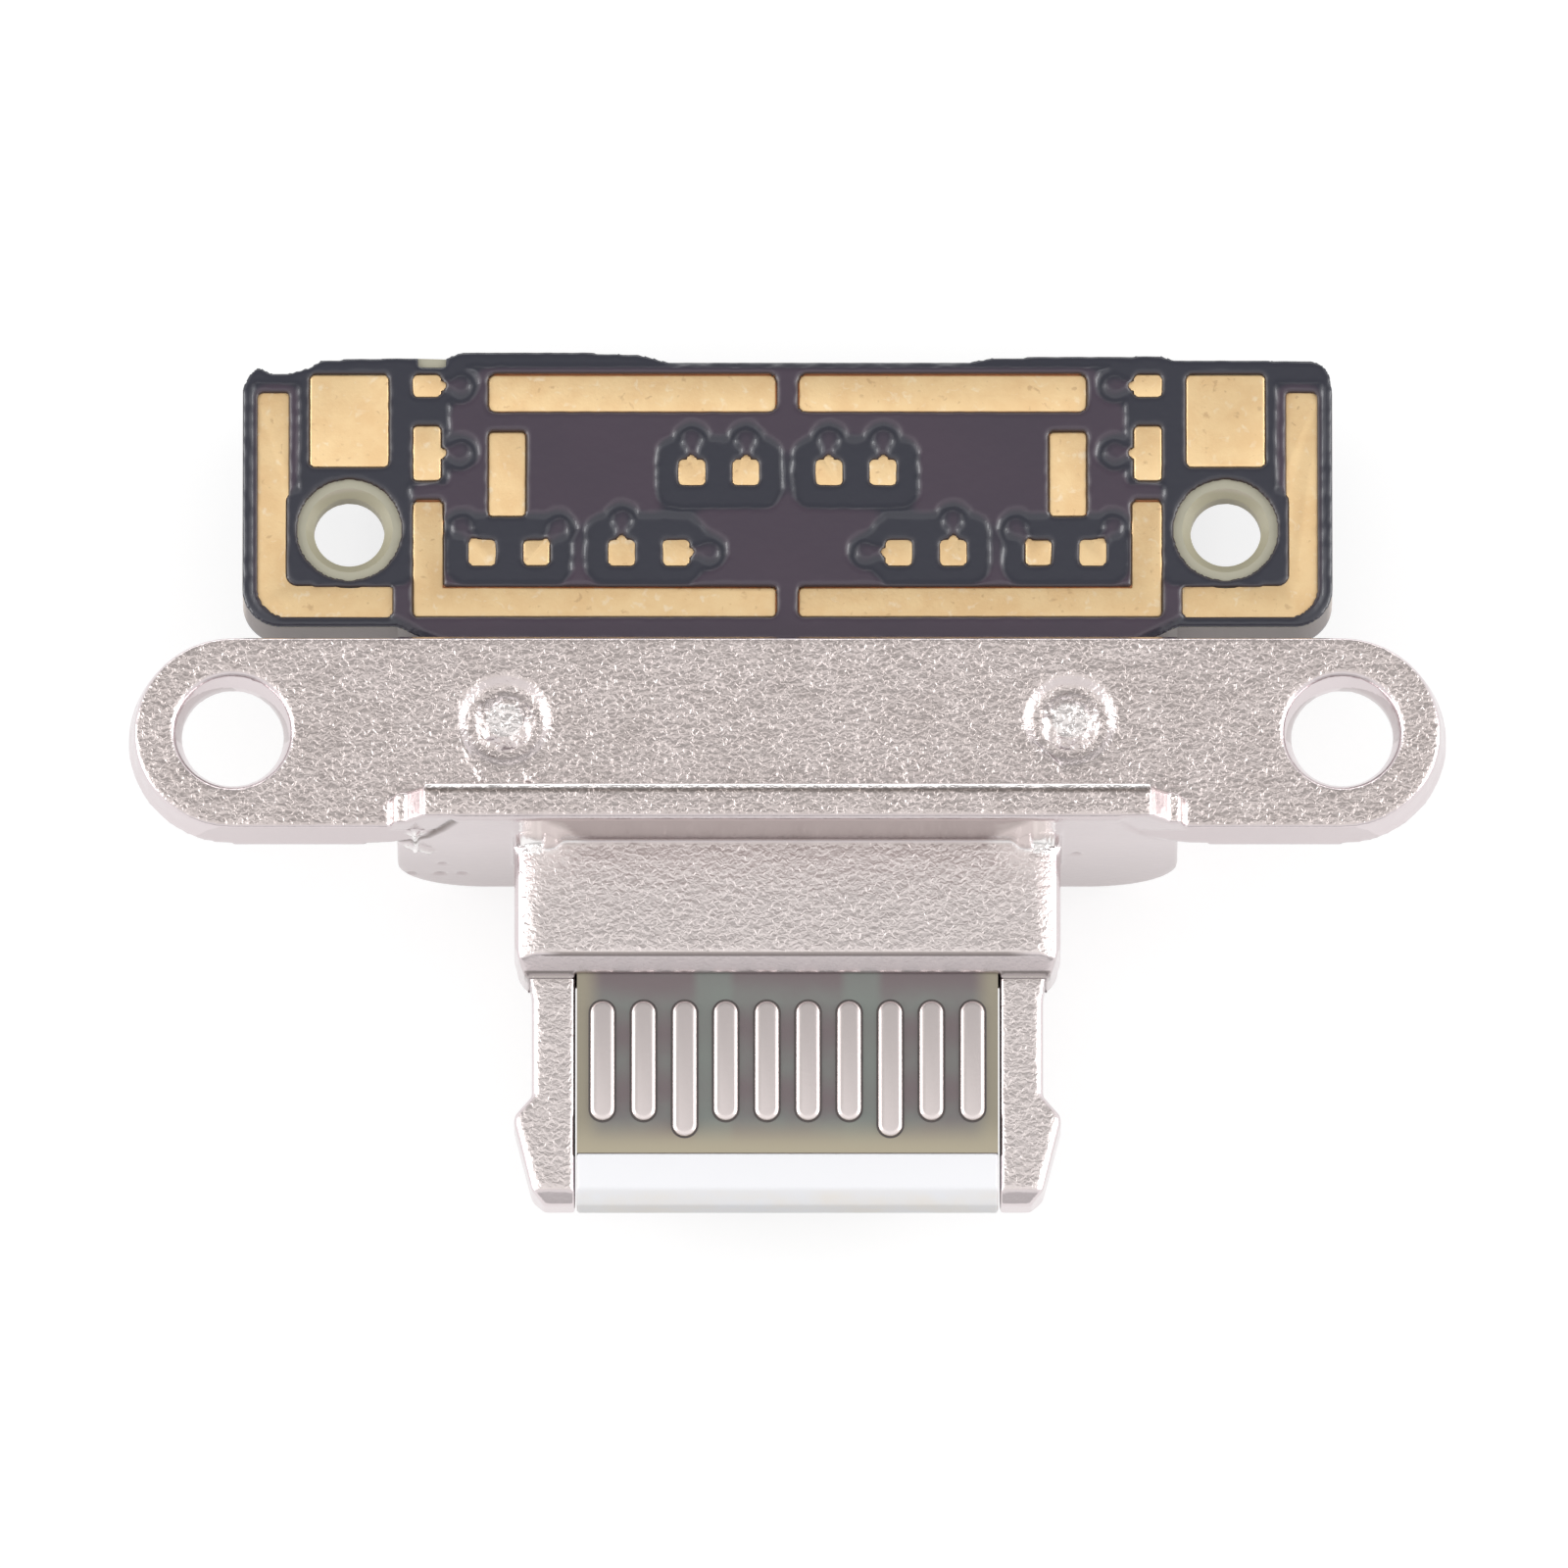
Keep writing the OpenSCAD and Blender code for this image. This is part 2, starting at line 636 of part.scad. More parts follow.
module outer_ground_pad_2d() {
    difference() {
        intersection() {
            rounded_box_2d(outer_arm_x, arm_y, outer_x1, pads_rear - supply_bar_d / 2, pad_round);
            rounded_box_2d(0, arm_y, outer_x1, board_rear, board_corner_r - copper_margin);
        }
        rounded_box_2d(0, arm_rear, outer_x0, board_rear, ground_arm_w);
        hole_clear_2d();
    }
}

// Rounded box kept clear round the locating hole, which bites into the outer pad's column
module hole_clear_2d() {
    half = hole_clear_r + ring_clear / 3;
    rounded_box_2d(locating_x - half, locating_y - hole_clear_r + pad_round / 2,
        locating_x + half, locating_y + hole_clear_r * 2 / 3, pocket_round * 2 / 3);
}

module inner_ground_pad_2d() {
    rounded_box_2d(inner_x0, arm_y, inner_x1, inner_pad_rear, pad_round);
    rounded_box_2d(middle_gap, arm_y, inner_x1, arm_rear, pad_round);
}

module rear_supply_pad_2d() {
    rounded_box_2d(middle_gap, pads_rear - supply_bar_d, supply_x1, pads_rear, 1.5 * pad_round);
}

module upright_supply_pad_2d() {
    mid = pads_rear - supply_bar_d - (supply_bar_d + upright_d) / 2;
    rounded_box_2d(supply_x1 - upright_w, mid - upright_d / 2, supply_x1, mid + upright_d / 2,
        pad_round);
}

module corner_pad_2d() {
    rounded_box_2d(locating_x - corner_pad_w / 2, pads_rear - corner_pad_d,
        locating_x + corner_pad_w / 2, pads_rear, pad_round);
}

// Pad in the inner ground pad's column, with its inner side drawn out to a blunt point
module pointed_pad_2d(y, depth) {
    reach = depth / 2 - pad_round;
    blunt = min(reach, small_pad_d / 3);
    rounded_box_2d(inner_x0 + pad_round / 2, y - depth / 2, inner_x1, y + depth / 2, pad_round);
    polygon([[inner_x0 - pad_round / 3, y - blunt / 2], [inner_x0 + pad_round, y - blunt],
             [inner_x0 + pad_round, y + blunt], [inner_x0 - pad_round / 3, y + blunt / 2]]);
}

module small_pad_2d() {
    pointed_pad_2d(small_y, small_pad_d);
}

module narrow_pad_2d() {
    pointed_pad_2d(narrow_y, narrow_pad_d);
}

// The track and via land that carry on from a small pad below the mask
module side_track_2d(i) {
    translate(side_vias[i]) {
        circle(via_land_r);
        translate([0, -via_land_r / 2]) square([inner_x0 + pad_round - side_via_x, via_land_r]);
    }
}

// Square pad with a short point towards its track
module signal_pad_2d(pad) {
    half = signal_pad_w / 2;
    translate([pad[0], pad[1]]) {
        rounded_box_2d(-half, -half, half, half, pad_round);
        rotate(180 - pad[2]) translate([half * 0.6, 0])
            polygon([[0, -half * 0.8], [half * 0.8, 0], [0, half * 0.8]]);
    }
}

// The track and via land that carry on from it below the mask
module signal_track_2d(pad) {
    translate([pad[0], pad[1]]) rotate(180 - pad[2]) {
        translate([0, -via_land_r / 2]) square([via_reach, via_land_r]);
        translate([via_reach, 0]) circle(via_land_r);
    }
}

module via_clear_2d(pad) {
    translate([pad[0], pad[1]]) rotate(180 - pad[2]) translate([via_reach, 0]) circle(via_clear_r);
}

module pads_2d() {
    outer_ground_pad_2d();
    inner_ground_pad_2d();
    rear_supply_pad_2d();
    upright_supply_pad_2d();
    corner_pad_2d();
    small_pad_2d();
    narrow_pad_2d();
    for (pad = SIGNAL_PADS) signal_pad_2d(pad);
}

module pair_pocket_2d(x, y) {
    rounded_box_2d(x - pocket_w / 2, y, x + pocket_w / 2, y + pocket_d, pocket_round);
}

// Pockets without copper, one round each group of isolated pads
module pockets_2d() {
    pocket_x1 = outer_x0 - ground_gap / 2;
    pair_pocket_2d(rear_pair_x, rear_pocket_y);
    pair_pocket_2d(outer_pair_x, front_pocket_y);
    pointed_pocket_2d();
    rounded_box_2d(corner_x0, corner_y0, pocket_x1, board_rear + over, pad_round);
    rounded_box_2d(inner_x1 + pad_round / 2, front_pocket_y, pocket_x1, corner_y0 + pocket_round,
        pocket_round);
    translate([locating_x, locating_y]) circle(hole_clear_r);
    hole_clear_2d();
    for (pad = SIGNAL_PADS) via_clear_2d(pad);
    for (via = side_vias) translate(via) circle(via_clear_r);
}

// Pocket of the inner front pair, cut off slantwise towards the middle
module pointed_pocket_2d() {
    x0 = inner_pair_x - pocket_w / 2;
    cut = pocket_w / 4;
    difference() {
        pair_pocket_2d(inner_pair_x, front_pocket_y);
        for (y = [front_pocket_y, front_pocket_y + pocket_d]) translate([x0, y])
            rotate(45) square(cut, center = true);
    }
}

// All copper of the upper face that is joined to ground
module ground_area_2d() {
    difference() {
        union() {
            translate([0, mask_front]) square([side_via_x, copper_rear - mask_front]);
            polygon([[0, mask_front], [inner_x0, mask_front], [outer_arm_x, arm_y], [0, arm_y]]);
            translate([0, arm_y])
                square([board_half - copper_margin, pads_rear - copper_margin - arm_y]);
        }
        pockets_2d();
        outer_corner_cut_2d();
    }
}

// The part of it between the two outer ground pads, without the pads set into it
module ground_top_2d() {
    difference() {
        intersection() {
            ground_area_2d();
            square([outer_arm_x, board_rear]);
        }
        pads_2d();
    }
}

// Copper of an outer ground pad, which runs on a little way under the mask
module outer_ground_copper_2d() {
    intersection() {
        ground_area_2d();
        translate([outer_arm_x, 0]) square([board_half, board_rear]);
    }
}

// Everything outside the rounded copper edge at the board's front corner
module outer_corner_cut_2d() {
    x = board_half - copper_margin;
    r = board_corner_r - copper_margin;
    difference() {
        translate([x - r, arm_y - over]) square([r + over, r + over]);
        translate([x - r, arm_y + r]) circle(r);
    }
}

module on_top() {
    translate([0, 0, board_top]) children();
}

module ground_copper_top() {
    color([0.72, 0.45, 0.3]) on_top() linear_extrude(copper_t) both_sides() ground_top_2d();
}

module ground_bottom_2d() {
    difference() {
        both_sides() {
            translate([0, mask_front]) square([shoulder_half, copper_rear - mask_front]);
            translate([0, arm_y])
                square([board_half - copper_margin, pads_rear - copper_margin - arm_y]);
        }
        both_sides() outer_corner_cut_2d();
        locating_holes_2d(hole_clear_r);
    }
}

module ground_copper_bottom() {
    color([0.72, 0.45, 0.3]) translate([0, 0, board_bottom - copper_t])
        linear_extrude(copper_t) ground_bottom_2d();
}

// Mask outline: the board behind the frame, less the rings round the holes
module mask_2d() {
    difference() {
        board_wide_2d();
        locating_holes_2d(ring_r);
    }
}

// Copper that the mask runs over
module covered_copper_2d() {
    ground_area_2d();
    for (pad = SIGNAL_PADS) signal_track_2d(pad);
    for (i = [0:len(side_vias) - 1]) side_track_2d(i);
}

module solder_mask_top() {
    color([0.15, 0.13, 0.16]) on_top() difference() {
        union() {
            linear_extrude(mask_t) difference() {
                mask_2d();
                translate([edge_notch[0] * board_half, copper_rear])
                    square([(edge_notch[1] - edge_notch[0]) * board_half, copper_margin + snap_depth]);
            }
            linear_extrude(copper_t + mask_t) both_sides() covered_copper_2d();
        }
        translate([0, 0, -over]) linear_extrude(copper_t + over) both_sides() covered_copper_2d();
        translate([0, 0, -over]) linear_extrude(copper_t + mask_t + 2 * over) both_sides() pads_2d();
    }
}

module solder_mask_bottom() {
    color([0.15, 0.13, 0.16]) translate([0, 0, board_bottom]) mirror([0, 0, 1]) difference() {
        union() {
            linear_extrude(mask_t) mask_2d();
            linear_extrude(copper_t + mask_t) ground_bottom_2d();
        }
        translate([0, 0, -over]) linear_extrude(copper_t + over) ground_bottom_2d();
    }
}

module pad_copper(side) {
    color([0.89, 0.75, 0.53]) on_top() linear_extrude(copper_t)
        mirror([side == "left" ? 1 : 0, 0]) children();
}

module pad(name, side) {
    pad_copper(side) {
        if (name == "outer_ground_pad") outer_ground_copper_2d();
        if (name == "inner_ground_pad") inner_ground_pad_2d();
        if (name == "rear_supply_pad") rear_supply_pad_2d();
        if (name == "upright_supply_pad") upright_supply_pad_2d();
        if (name == "corner_pad") corner_pad_2d();
        if (name == "small_pad") { small_pad_2d(); side_track_2d(0); }
        if (name == "narrow_pad") { narrow_pad_2d(); side_track_2d(1); }
    }
}

module signal_pad(side, i) {
    pad_copper(side) {
        signal_pad_2d(SIGNAL_PADS[i - 1]);
        signal_track_2d(SIGNAL_PADS[i - 1]);
    }
}

metal_frame();
circuit_board();
tongue_nose();
for (i = [1:contact_count]) {
    contact_top(i);
    contact_bottom(i);
}
ground_copper_top();
ground_copper_bottom();
solder_mask_top();
solder_mask_bottom();
for (side = SIDES) {
    for (name = PAD_NAMES)
        pad(name, side);
    for (i = [1:SIGNAL_PAD_COUNT])
        signal_pad(side, i);
}
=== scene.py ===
import math

import bmesh
import bpy
import numpy as np
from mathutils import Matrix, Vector, noise
from mathutils.bvhtree import BVHTree


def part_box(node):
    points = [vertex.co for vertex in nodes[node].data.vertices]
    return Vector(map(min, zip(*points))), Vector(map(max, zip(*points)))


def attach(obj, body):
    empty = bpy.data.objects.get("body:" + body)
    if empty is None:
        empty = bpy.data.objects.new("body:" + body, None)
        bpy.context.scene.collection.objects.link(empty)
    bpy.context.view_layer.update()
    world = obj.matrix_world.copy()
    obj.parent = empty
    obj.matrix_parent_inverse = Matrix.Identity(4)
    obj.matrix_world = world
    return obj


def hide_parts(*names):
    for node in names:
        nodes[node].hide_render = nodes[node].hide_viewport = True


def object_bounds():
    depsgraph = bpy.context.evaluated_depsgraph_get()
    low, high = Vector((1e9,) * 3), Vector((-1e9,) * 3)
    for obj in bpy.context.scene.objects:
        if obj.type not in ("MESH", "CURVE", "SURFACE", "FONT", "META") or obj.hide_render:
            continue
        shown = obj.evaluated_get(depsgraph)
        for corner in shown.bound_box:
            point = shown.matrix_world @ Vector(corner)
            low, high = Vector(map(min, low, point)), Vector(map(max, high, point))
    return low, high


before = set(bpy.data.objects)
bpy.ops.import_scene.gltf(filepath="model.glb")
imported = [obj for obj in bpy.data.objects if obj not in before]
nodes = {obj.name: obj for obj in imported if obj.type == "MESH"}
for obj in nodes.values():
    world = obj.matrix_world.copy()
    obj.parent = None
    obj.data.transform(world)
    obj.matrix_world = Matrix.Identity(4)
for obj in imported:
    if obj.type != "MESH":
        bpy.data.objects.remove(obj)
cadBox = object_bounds()
mm = 0.001  # one millimetre, in metres
print("frame loaded:", len(nodes), "nodes")


def toLinear(hexColour):
    # an sRGB hex colour as the linear one that a shader takes
    channels = [int(hexColour[i:i + 2], 16) / 255 for i in (0, 2, 4)]
    return tuple(c / 12.92 if c <= 0.04045 else ((c + 0.055) / 1.055) ** 2.4 for c in channels) + (1.0,)


def addNode(tree, kind, links=None, **settings):
    # adds one shader node; a settings key that names an input sets that input, and links feed inputs
    node = tree.nodes.new("ShaderNode" + kind)
    for key, value in settings.items():
        if hasattr(node, key):
            setattr(node, key, value)
        else:
            node.inputs[key.replace("_", " ")].default_value = value
    for key, source in (links or {}).items():
        tree.links.new(source, node.inputs[key])
    return node


def newMaterial(name, **shaderValues):
    material = bpy.data.materials.new(name)
    material.use_nodes = True
    tree = material.node_tree
    shader = tree.nodes["Principled BSDF"]
    for key, value in shaderValues.items():
        shader.inputs[key.replace("_", " ")].default_value = value
    return material, tree, shader


def levelness(tree):
    # 1 on faces that lie level, down to 0 on upright walls
    normal = addNode(tree, "NewGeometry").outputs["Normal"]
    up = addNode(tree, "SeparateXYZ", {0: normal}).outputs["Z"]
    return addNode(tree, "Math", {0: up}, operation="ABSOLUTE").outputs[0]


def assign(piece, material):
    piece.data.materials.clear()
    piece.data.materials.append(material)


def meshInMillimetres(source):
    # a welded bmesh copy of a node, in millimetres
    work = bmesh.new()
    work.from_mesh(source.data)
    bmesh.ops.scale(work, vec=(1 / mm, 1 / mm, 1 / mm), verts=work.verts)
    bmesh.ops.remove_doubles(work, verts=work.verts, dist=1e-4)
    return work


def pieceFromBmesh(name, work, material, replaced=()):
    # turns a bmesh in millimetres into a riding piece in metres
    bmesh.ops.scale(work, vec=(mm, mm, mm), verts=work.verts)
    mesh = bpy.data.meshes.new(name)
    work.to_mesh(mesh)
    work.free()
    piece = bpy.data.objects.new(name, mesh)
    bpy.context.scene.collection.objects.link(piece)
    for polygon in mesh.polygons:
        polygon.use_smooth = True
    assign(piece, material)
    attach(piece, "root")
    if replaced:
        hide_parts(*replaced)
    return piece


def evaluated(piece):
    # the mesh that a piece's modifiers make, as a new mesh
    depsgraph = bpy.context.evaluated_depsgraph_get()
    return bpy.data.meshes.new_from_object(piece.evaluated_get(depsgraph))


# Metal frame

frameLook = {
    "voxel": 0.026,         # mm, grid of the skin
    "softening": 8,         # passes that round the edges as moulding and tumbling do
    "triangles": 188000,
    # colours
    "nickel": "D7CCC9",
    # painted reflection: a lighter, cooler nickel for the walls
    "nickelWallReflection": "DDD3D5",
    "nickelDark": "B8ADA9",
    "nickelRubbed": "EFE6E4",
    # the painted highlights, and the rubbed gate stubs
    "nickelBright": "FFFCFB",
    # the brown that the painted shade mixes in, also where the rails start
    "stain": "5B4E46",
    "toneSize": 0.35,       # mm, from one duller patch to the next
    "rubbedShare": 0.5,     # how clean plugs rub the neck and the rails
    "rubbedFade": (-1.4, -1.3),  # mm in Y, from the rubbed neck to the plate
    # grain and gloss
    "grainSize": 0.062,     # mm, from lump to lump of the moulded skin
    "grainHeight": 0.027,   # mm
    "grainStretch": 0.95,   # below 1, the lumps are longer along the plate than across it
    "foldSize": 2.6,        # grain sizes from fold to fold under the lumps
    "foldShare": 0.6,       # share of the lumps' height
    "neckGrain": 0.64,      # share of the grain's height on the neck and rails
    "grainFade": (-1.4, -1.2),  # mm in Y, from the neck's grain to the plate's
    "wallHeight": 0.1,      # share of the grain's height left on the drafted walls
    "wallRoughness": 0.18,
    "flatRoughness": 0.33,
    # the plate's top face, with two broken gates on it
    "plateTop": 0.5,        # mm
    "topSkin": 0.03,        # mm, how far from the face a vertex still belongs to it
    "gateCentre": (3.44, 0.13),  # mm
    "gateStub": 0.40,       # mm, radius of the broken gate with its torn foot
    "gateFlat": 0.55,       # share of that radius which stands up
    "gateSlope": 0.4,       # share of that radius on which it falls
    "gateRough": 0.022,     # mm
    "gateDepth": 0.07,      # mm
    "gateRub": 0.5,
    "gateFoot": 0.3,        # mm in Z, below it nothing is rubbed
    "tearRates": (13, 24),  # coarse and fine lumps to the millimetre on a torn gate
    # raised streaks of flash on the plate: ends, half width and height, mm
    "streaks": [((-3.95, -0.18), (-3.71, -0.62), 0.03, 0.03),
                ((-3.19, -0.48), (-3.15, -0.62), 0.03, 0.025),
                ((-3.15, -0.47), (-3.02, -0.58), 0.025, 0.02),
                ((3.16, -0.28), (3.46, -0.63), 0.025, 0.025),
                ((3.02, -0.16), (3.08, -0.22), 0.025, 0.02),
                ((4.12, -0.46), (4.18, -0.5), 0.025, 0.02)],
    "streakReach": 1.6,     # half widths from a streak's middle to where it ends
    "streakRate": 7,        # lumps to the millimetre along a streak
    # the block's front face, with its crease
    "frontFace": -1.265,    # mm in Y
    "faceSkin": 0.06,       # mm, how far from the face a vertex still belongs to it
    "creaseReach": 0.16,    # mm, how far behind the face the crease still marks
    "creaseHalf": 0.03,     # mm
    "creaseDepth": 0.018,   # mm
    "creaseLine": [(5.11, -0.02), (4.81, 0.02), (4.57, 0.09),
                   (4.39, 0.214), (4.21, 0.537), (4.06, 0.905)],
    # painted shade in the crease and the pits
    "creaseShade": 0.8,
    "creaseSpread": 2,      # how much wider than the crease its painted shade is
    "creaseRight": 0.2,     # the right one is that much fainter
    # a tag of flash and a few pits on the front face: ends in X and Z, half width and height, mm
    "frontMarks": [((-4.53, 0.42), (-4.52, -0.19), 0.035, 0.055),
                   ((-4.6, 0.34), (-4.44, 0.36), 0.03, 0.045),
                   ((-4.64, -0.08), (-4.35, -0.41), 0.04, 0.055),
                   ((-4.6, -1.49), (-4.58, -1.49), 0.04, -0.04),
                   ((-4.25, -1.5), (-4.22, -1.5), 0.045, -0.04),
                   ((-3.97, -1.49), (-3.96, -1.49), 0.04, -0.04),
                   ((-4.21, -1.03), (-4.2, -1.03), 0.035, -0.035),
                   ((3.51, -0.57), (3.52, -0.57), 0.04, -0.04)],
    "pitShare": 0.8,        # share of a pit's width that is painted dark as shade
    "flashSkin": 0.1,       # mm, how far from the face the flash gets a painted highlight
    # painted shade on the wall above the neck, over an edge that slants up towards the neck's corners
    "wallShade": 0.44,
    "wallSkin": 0.05,       # mm
    "wallSpan": (0.13, 1.0),  # mm in Z
    "wallHalf": 3.05,       # mm
    "slantFrom": (2.5, 0.1),  # mm, where that edge starts, across and in Z
    "slantRun": (0.5, 0.9),  # mm, its run and rise
    "slantSharp": 4,        # how fast the painted shade grows above that edge
    # webs in the corners of the neck, painted with a highlight
    "webRun": 0.16,         # mm, how far they stand in front of the face
    "webSlope": (2.55, 3.0),  # mm, their slopes, across
    "webFoot": 0.1,         # mm in Z
    "webHighlight": 0.6,
    "webEdge": (3.0, 3.26),  # mm, their outer edges, across, painted fully bright
    "webTop": 1,            # mm in Z
    # darker where the rails start
    "railSpan": (2.6, 3.2),  # mm, across
    "railDepth": (-0.4, 0),  # mm in Z
    "railFront": -3.02,     # mm in Y, where the darkening ends
    "railRun": 0.16,        # mm, on which it fades
    "railDarkening": 0.66,
    # screw holes, with painted shade on the far wall inside
    "screwHole": (6.78, -0.1),  # mm
    "screwWall": 0.72,      # mm, radius
    "screwMouth": 0.44,     # mm in Z, the painted shade ends below the mouth
    "screwShade": 0.24,
    # the lip and its rear edge, rubbed round and painted with a highlight, with a painted shade line in
    # front of that edge
    "lipRear": -0.835,      # mm in Y
    "lipTop": 1.1,          # mm in Z
    "lipHalf": 4.42,        # mm
    "lipFoot": 0.05,        # mm above the plate
    "lipRun": 0.1,          # mm, width of the rubbed edge
    "lipFlat": 0.3,         # share of that width before the edge falls
    "lipDrop": 0.07,        # mm
    "lipShift": 0.035,      # mm
    "lipHighlight": 0.7,
    "lipHighlightRun": 0.03,      # mm
    "lipHighlightFoot": 0.95,     # mm in Z
    "lipLine": (-0.072, 0.026),  # mm, its place behind the edge, so this one is in front, and half width
    "lipLineFoot": 0.9,     # mm in Z
    "lineShade": 0.616,     # painted shade on this line, and on the one behind the neck's front edge
    # the neck: its front edge, its foot drawn forward, and its rounded sides
    "neckHalf": 3.33,       # mm
    "neckTop": 0.09,        # mm in Z
    "neckFront": -2.855,    # mm in Y
    "neckBand": (-0.05, 0.2),  # mm, which vertices the foot draws, behind the front edge
    "neckFoot": 0.04,       # mm
    "neckFootFall": 0.25,   # mm, down to where the foot is fully drawn
    "neckEdge": 2.97,       # mm, where the neck's top starts to round off
    "neckClear": 0.05,      # mm, how far from the front face the rounding ends
    "neckDepth": 0.3,       # mm, how far down it reaches
    "neckFace": (0.02, 0.11),  # mm, the front face, painted in shade: place behind the edge, and half width
    "neckLine": (0.155, 0.018),  # mm, the painted shade line behind it
    # painted shade on the neck's front face and on the block's front face
    "frontShade": 0.12,
}


def frameMetal(look):
    # Nickel-plated steel, moulded from powder and tumbled: flats keep a fine pebbled skin that
    # sparkles, while walls and rubbed edges are smoother. Painted highlights brighten some edges,
    # and painted brown shade sits in creases, lines and holes.
    material, tree, shader = newMaterial("nickelPlatedMouldedSteel", Metallic=1.0)
    place = addNode(tree, "TexCoord").outputs["Object"]
    along = addNode(tree, "SeparateXYZ", {0: place}).outputs["Y"]
    level = levelness(tree)
    flatness = addNode(tree, "MapRange", {"Value": level}, From_Min=0.8, From_Max=0.97,
                       To_Min=look["wallHeight"])
    polish = addNode(tree, "MapRange", {"Value": level}, From_Min=0.85, From_Max=0.97,
                     To_Min=look["wallRoughness"], To_Max=look["flatRoughness"])
    # lumps on broader folds, lower on the walls, the neck and the rails
    drawn = addNode(tree, "VectorMath", {0: place}, operation="MULTIPLY")
    drawn.inputs[1].default_value = (look["grainStretch"], 1, 1)
    lumps = addNode(tree, "TexNoise", {"Vector": drawn.outputs[0]},
                    Scale=1 / (look["grainSize"] * mm), Detail=1.8, Roughness=0.5, Distortion=0.6)
    folds = addNode(tree, "TexNoise", {"Vector": drawn.outputs[0]},
                    Scale=1 / (look["grainSize"] * look["foldSize"] * mm), Detail=1.0)
    raised = addNode(tree, "Math", {0: folds.outputs[0]}, operation="MULTIPLY")
    raised.inputs[1].default_value = look["foldShare"]
    skin = addNode(tree, "Math", {0: lumps.outputs[0], 1: raised.outputs[0]}, operation="ADD")
    smoother = addNode(tree, "MapRange", {"Value": along}, From_Min=look["grainFade"][0] * mm,
                       From_Max=look["grainFade"][1] * mm, To_Min=look["neckGrain"])
    strength = addNode(tree, "Math", {0: flatness.outputs[0], 1: smoother.outputs[0]},
                       operation="MULTIPLY")
    bump = addNode(tree, "Bump", {"Height": skin.outputs[0], "Strength": strength.outputs[0]},
                   Distance=look["grainHeight"] * mm)
    tone = addNode(tree, "TexNoise", {"Vector": place}, Scale=1 / (look["toneSize"] * mm), Detail=4.0)
    toneRange = addNode(tree, "MapRange", {"Value": tone.outputs[0]}, From_Min=0.35,
                        From_Max=0.65, To_Max=0.4)
    colour = addNode(tree, "MixRGB", {"Fac": toneRange.outputs[0]},
                     Color1=toLinear(look["nickel"]), Color2=toLinear(look["nickelDark"]))
    # walls are smoother, and they get a lighter, cooler colour as a painted reflection
    colour = addNode(tree, "MixRGB", {"Fac": flatness.outputs[0], "Color2": colour.outputs[0]},
                     Color1=toLinear(look["nickelWallReflection"]))
    # the neck and the rails are rubbed cleaner by plugs
    front = addNode(tree, "MapRange", {"Value": along}, From_Min=look["rubbedFade"][0] * mm,
                    From_Max=look["rubbedFade"][1] * mm, To_Min=look["rubbedShare"], To_Max=0.0)
    clean = addNode(tree, "Math", {0: flatness.outputs[0], 1: front.outputs[0]}, operation="MULTIPLY")
    rubbed = addNode(tree, "MixRGB", {"Fac": clean.outputs[0], "Color1": colour.outputs[0]},
                     Color2=toLinear(look["nickelRubbed"]))
    # what darkeningAt and brighteningAt leave on the vertices: painted shade, a darker patch where the
    # rails start, painted highlights, and rubbed gate stubs
    dirt = addNode(tree, "Attribute", attribute_name="stain").outputs["Fac"]
    brightening = addNode(tree, "Attribute", attribute_name="brightening").outputs["Fac"]
    bright = addNode(tree, "MixRGB", {"Fac": brightening, "Color1": rubbed.outputs[0]},
                     Color2=toLinear(look["nickelBright"]))
    darkened = addNode(tree, "MixRGB", {"Fac": dirt, "Color1": bright.outputs[0]},
                      Color2=toLinear(look["stain"]))
    tree.links.new(darkened.outputs[0], shader.inputs["Base Color"])
    tree.links.new(polish.outputs[0], shader.inputs["Roughness"])
    tree.links.new(bump.outputs[0], shader.inputs["Normal"])
    return material


def nearness(point, start, end, half, reach=2):
    # how near a flat point lies to a line, from 1 on the line down to 0 at reach half widths
    along = Vector(end) - Vector(start)
    offset = Vector(point) - Vector(start)
    share = min(1, max(0, offset.dot(along) / max(along.length_squared, 1e-9)))
    gap = (offset - along * share).length / half
    return math.exp(-gap * gap) if gap < reach else 0


def inBand(value, edge, band):
    # whether a value lies in a band that is given by its place behind an edge and its half width
    place, half = band
    return abs(value - edge - place) < half


def tornSkin(point, look):
    # the height of a vertex of the top face once its gate stubs are torn and its streaks are raised
    top = look["plateTop"]
    if point.z < top - look["gateDepth"] - look["topSkin"] or point.z > top + look["topSkin"]:
        return point.z
    x, y = look["gateCentre"]
    away = math.hypot(abs(point.x) - x, point.y - y) / look["gateStub"]
    if away < 1:
        fall = min(1, max(0, (away - look["gateFlat"]) / look["gateSlope"]))
        coarse, fine = look["tearRates"]
        tear = noise.noise(point * coarse) + 0.6 * noise.noise(point * fine)
        return top - look["gateDepth"] * fall + look["gateRough"] * (1 - away ** 5) * tear
    z = point.z
    for start, end, half, height in look["streaks"]:
        near = nearness((point.x, point.y), start, end, half, look["streakReach"])
        if near:
            z += height * near * (0.6 + 0.8 * abs(noise.noise(point * look["streakRate"])))
    return z


def crease(point, look, half):
    # how deep in the crease round the block's front face a vertex lies
    face = look["frontFace"]
    if point.y > face + look["creaseReach"] or point.y < face - look["faceSkin"]:
        return 0
    place = (abs(point.x), point.z)
    line = look["creaseLine"]
    share = 1 if point.x < 0 else look["creaseRight"]
    return share * max(nearness(place, a, b, half) for a, b in zip(line, line[1:]))


def frontSkin(point, look):
    # the depth of a vertex of the block's front face once its crease, flash and pits are there
    y = point.y + look["creaseDepth"] * crease(point, look, look["creaseHalf"])
    if abs(point.y - look["frontFace"]) < look["faceSkin"]:
        for start, end, half, height in look["frontMarks"]:
            y -= height * nearness((point.x, point.z), start, end, half)
    return y


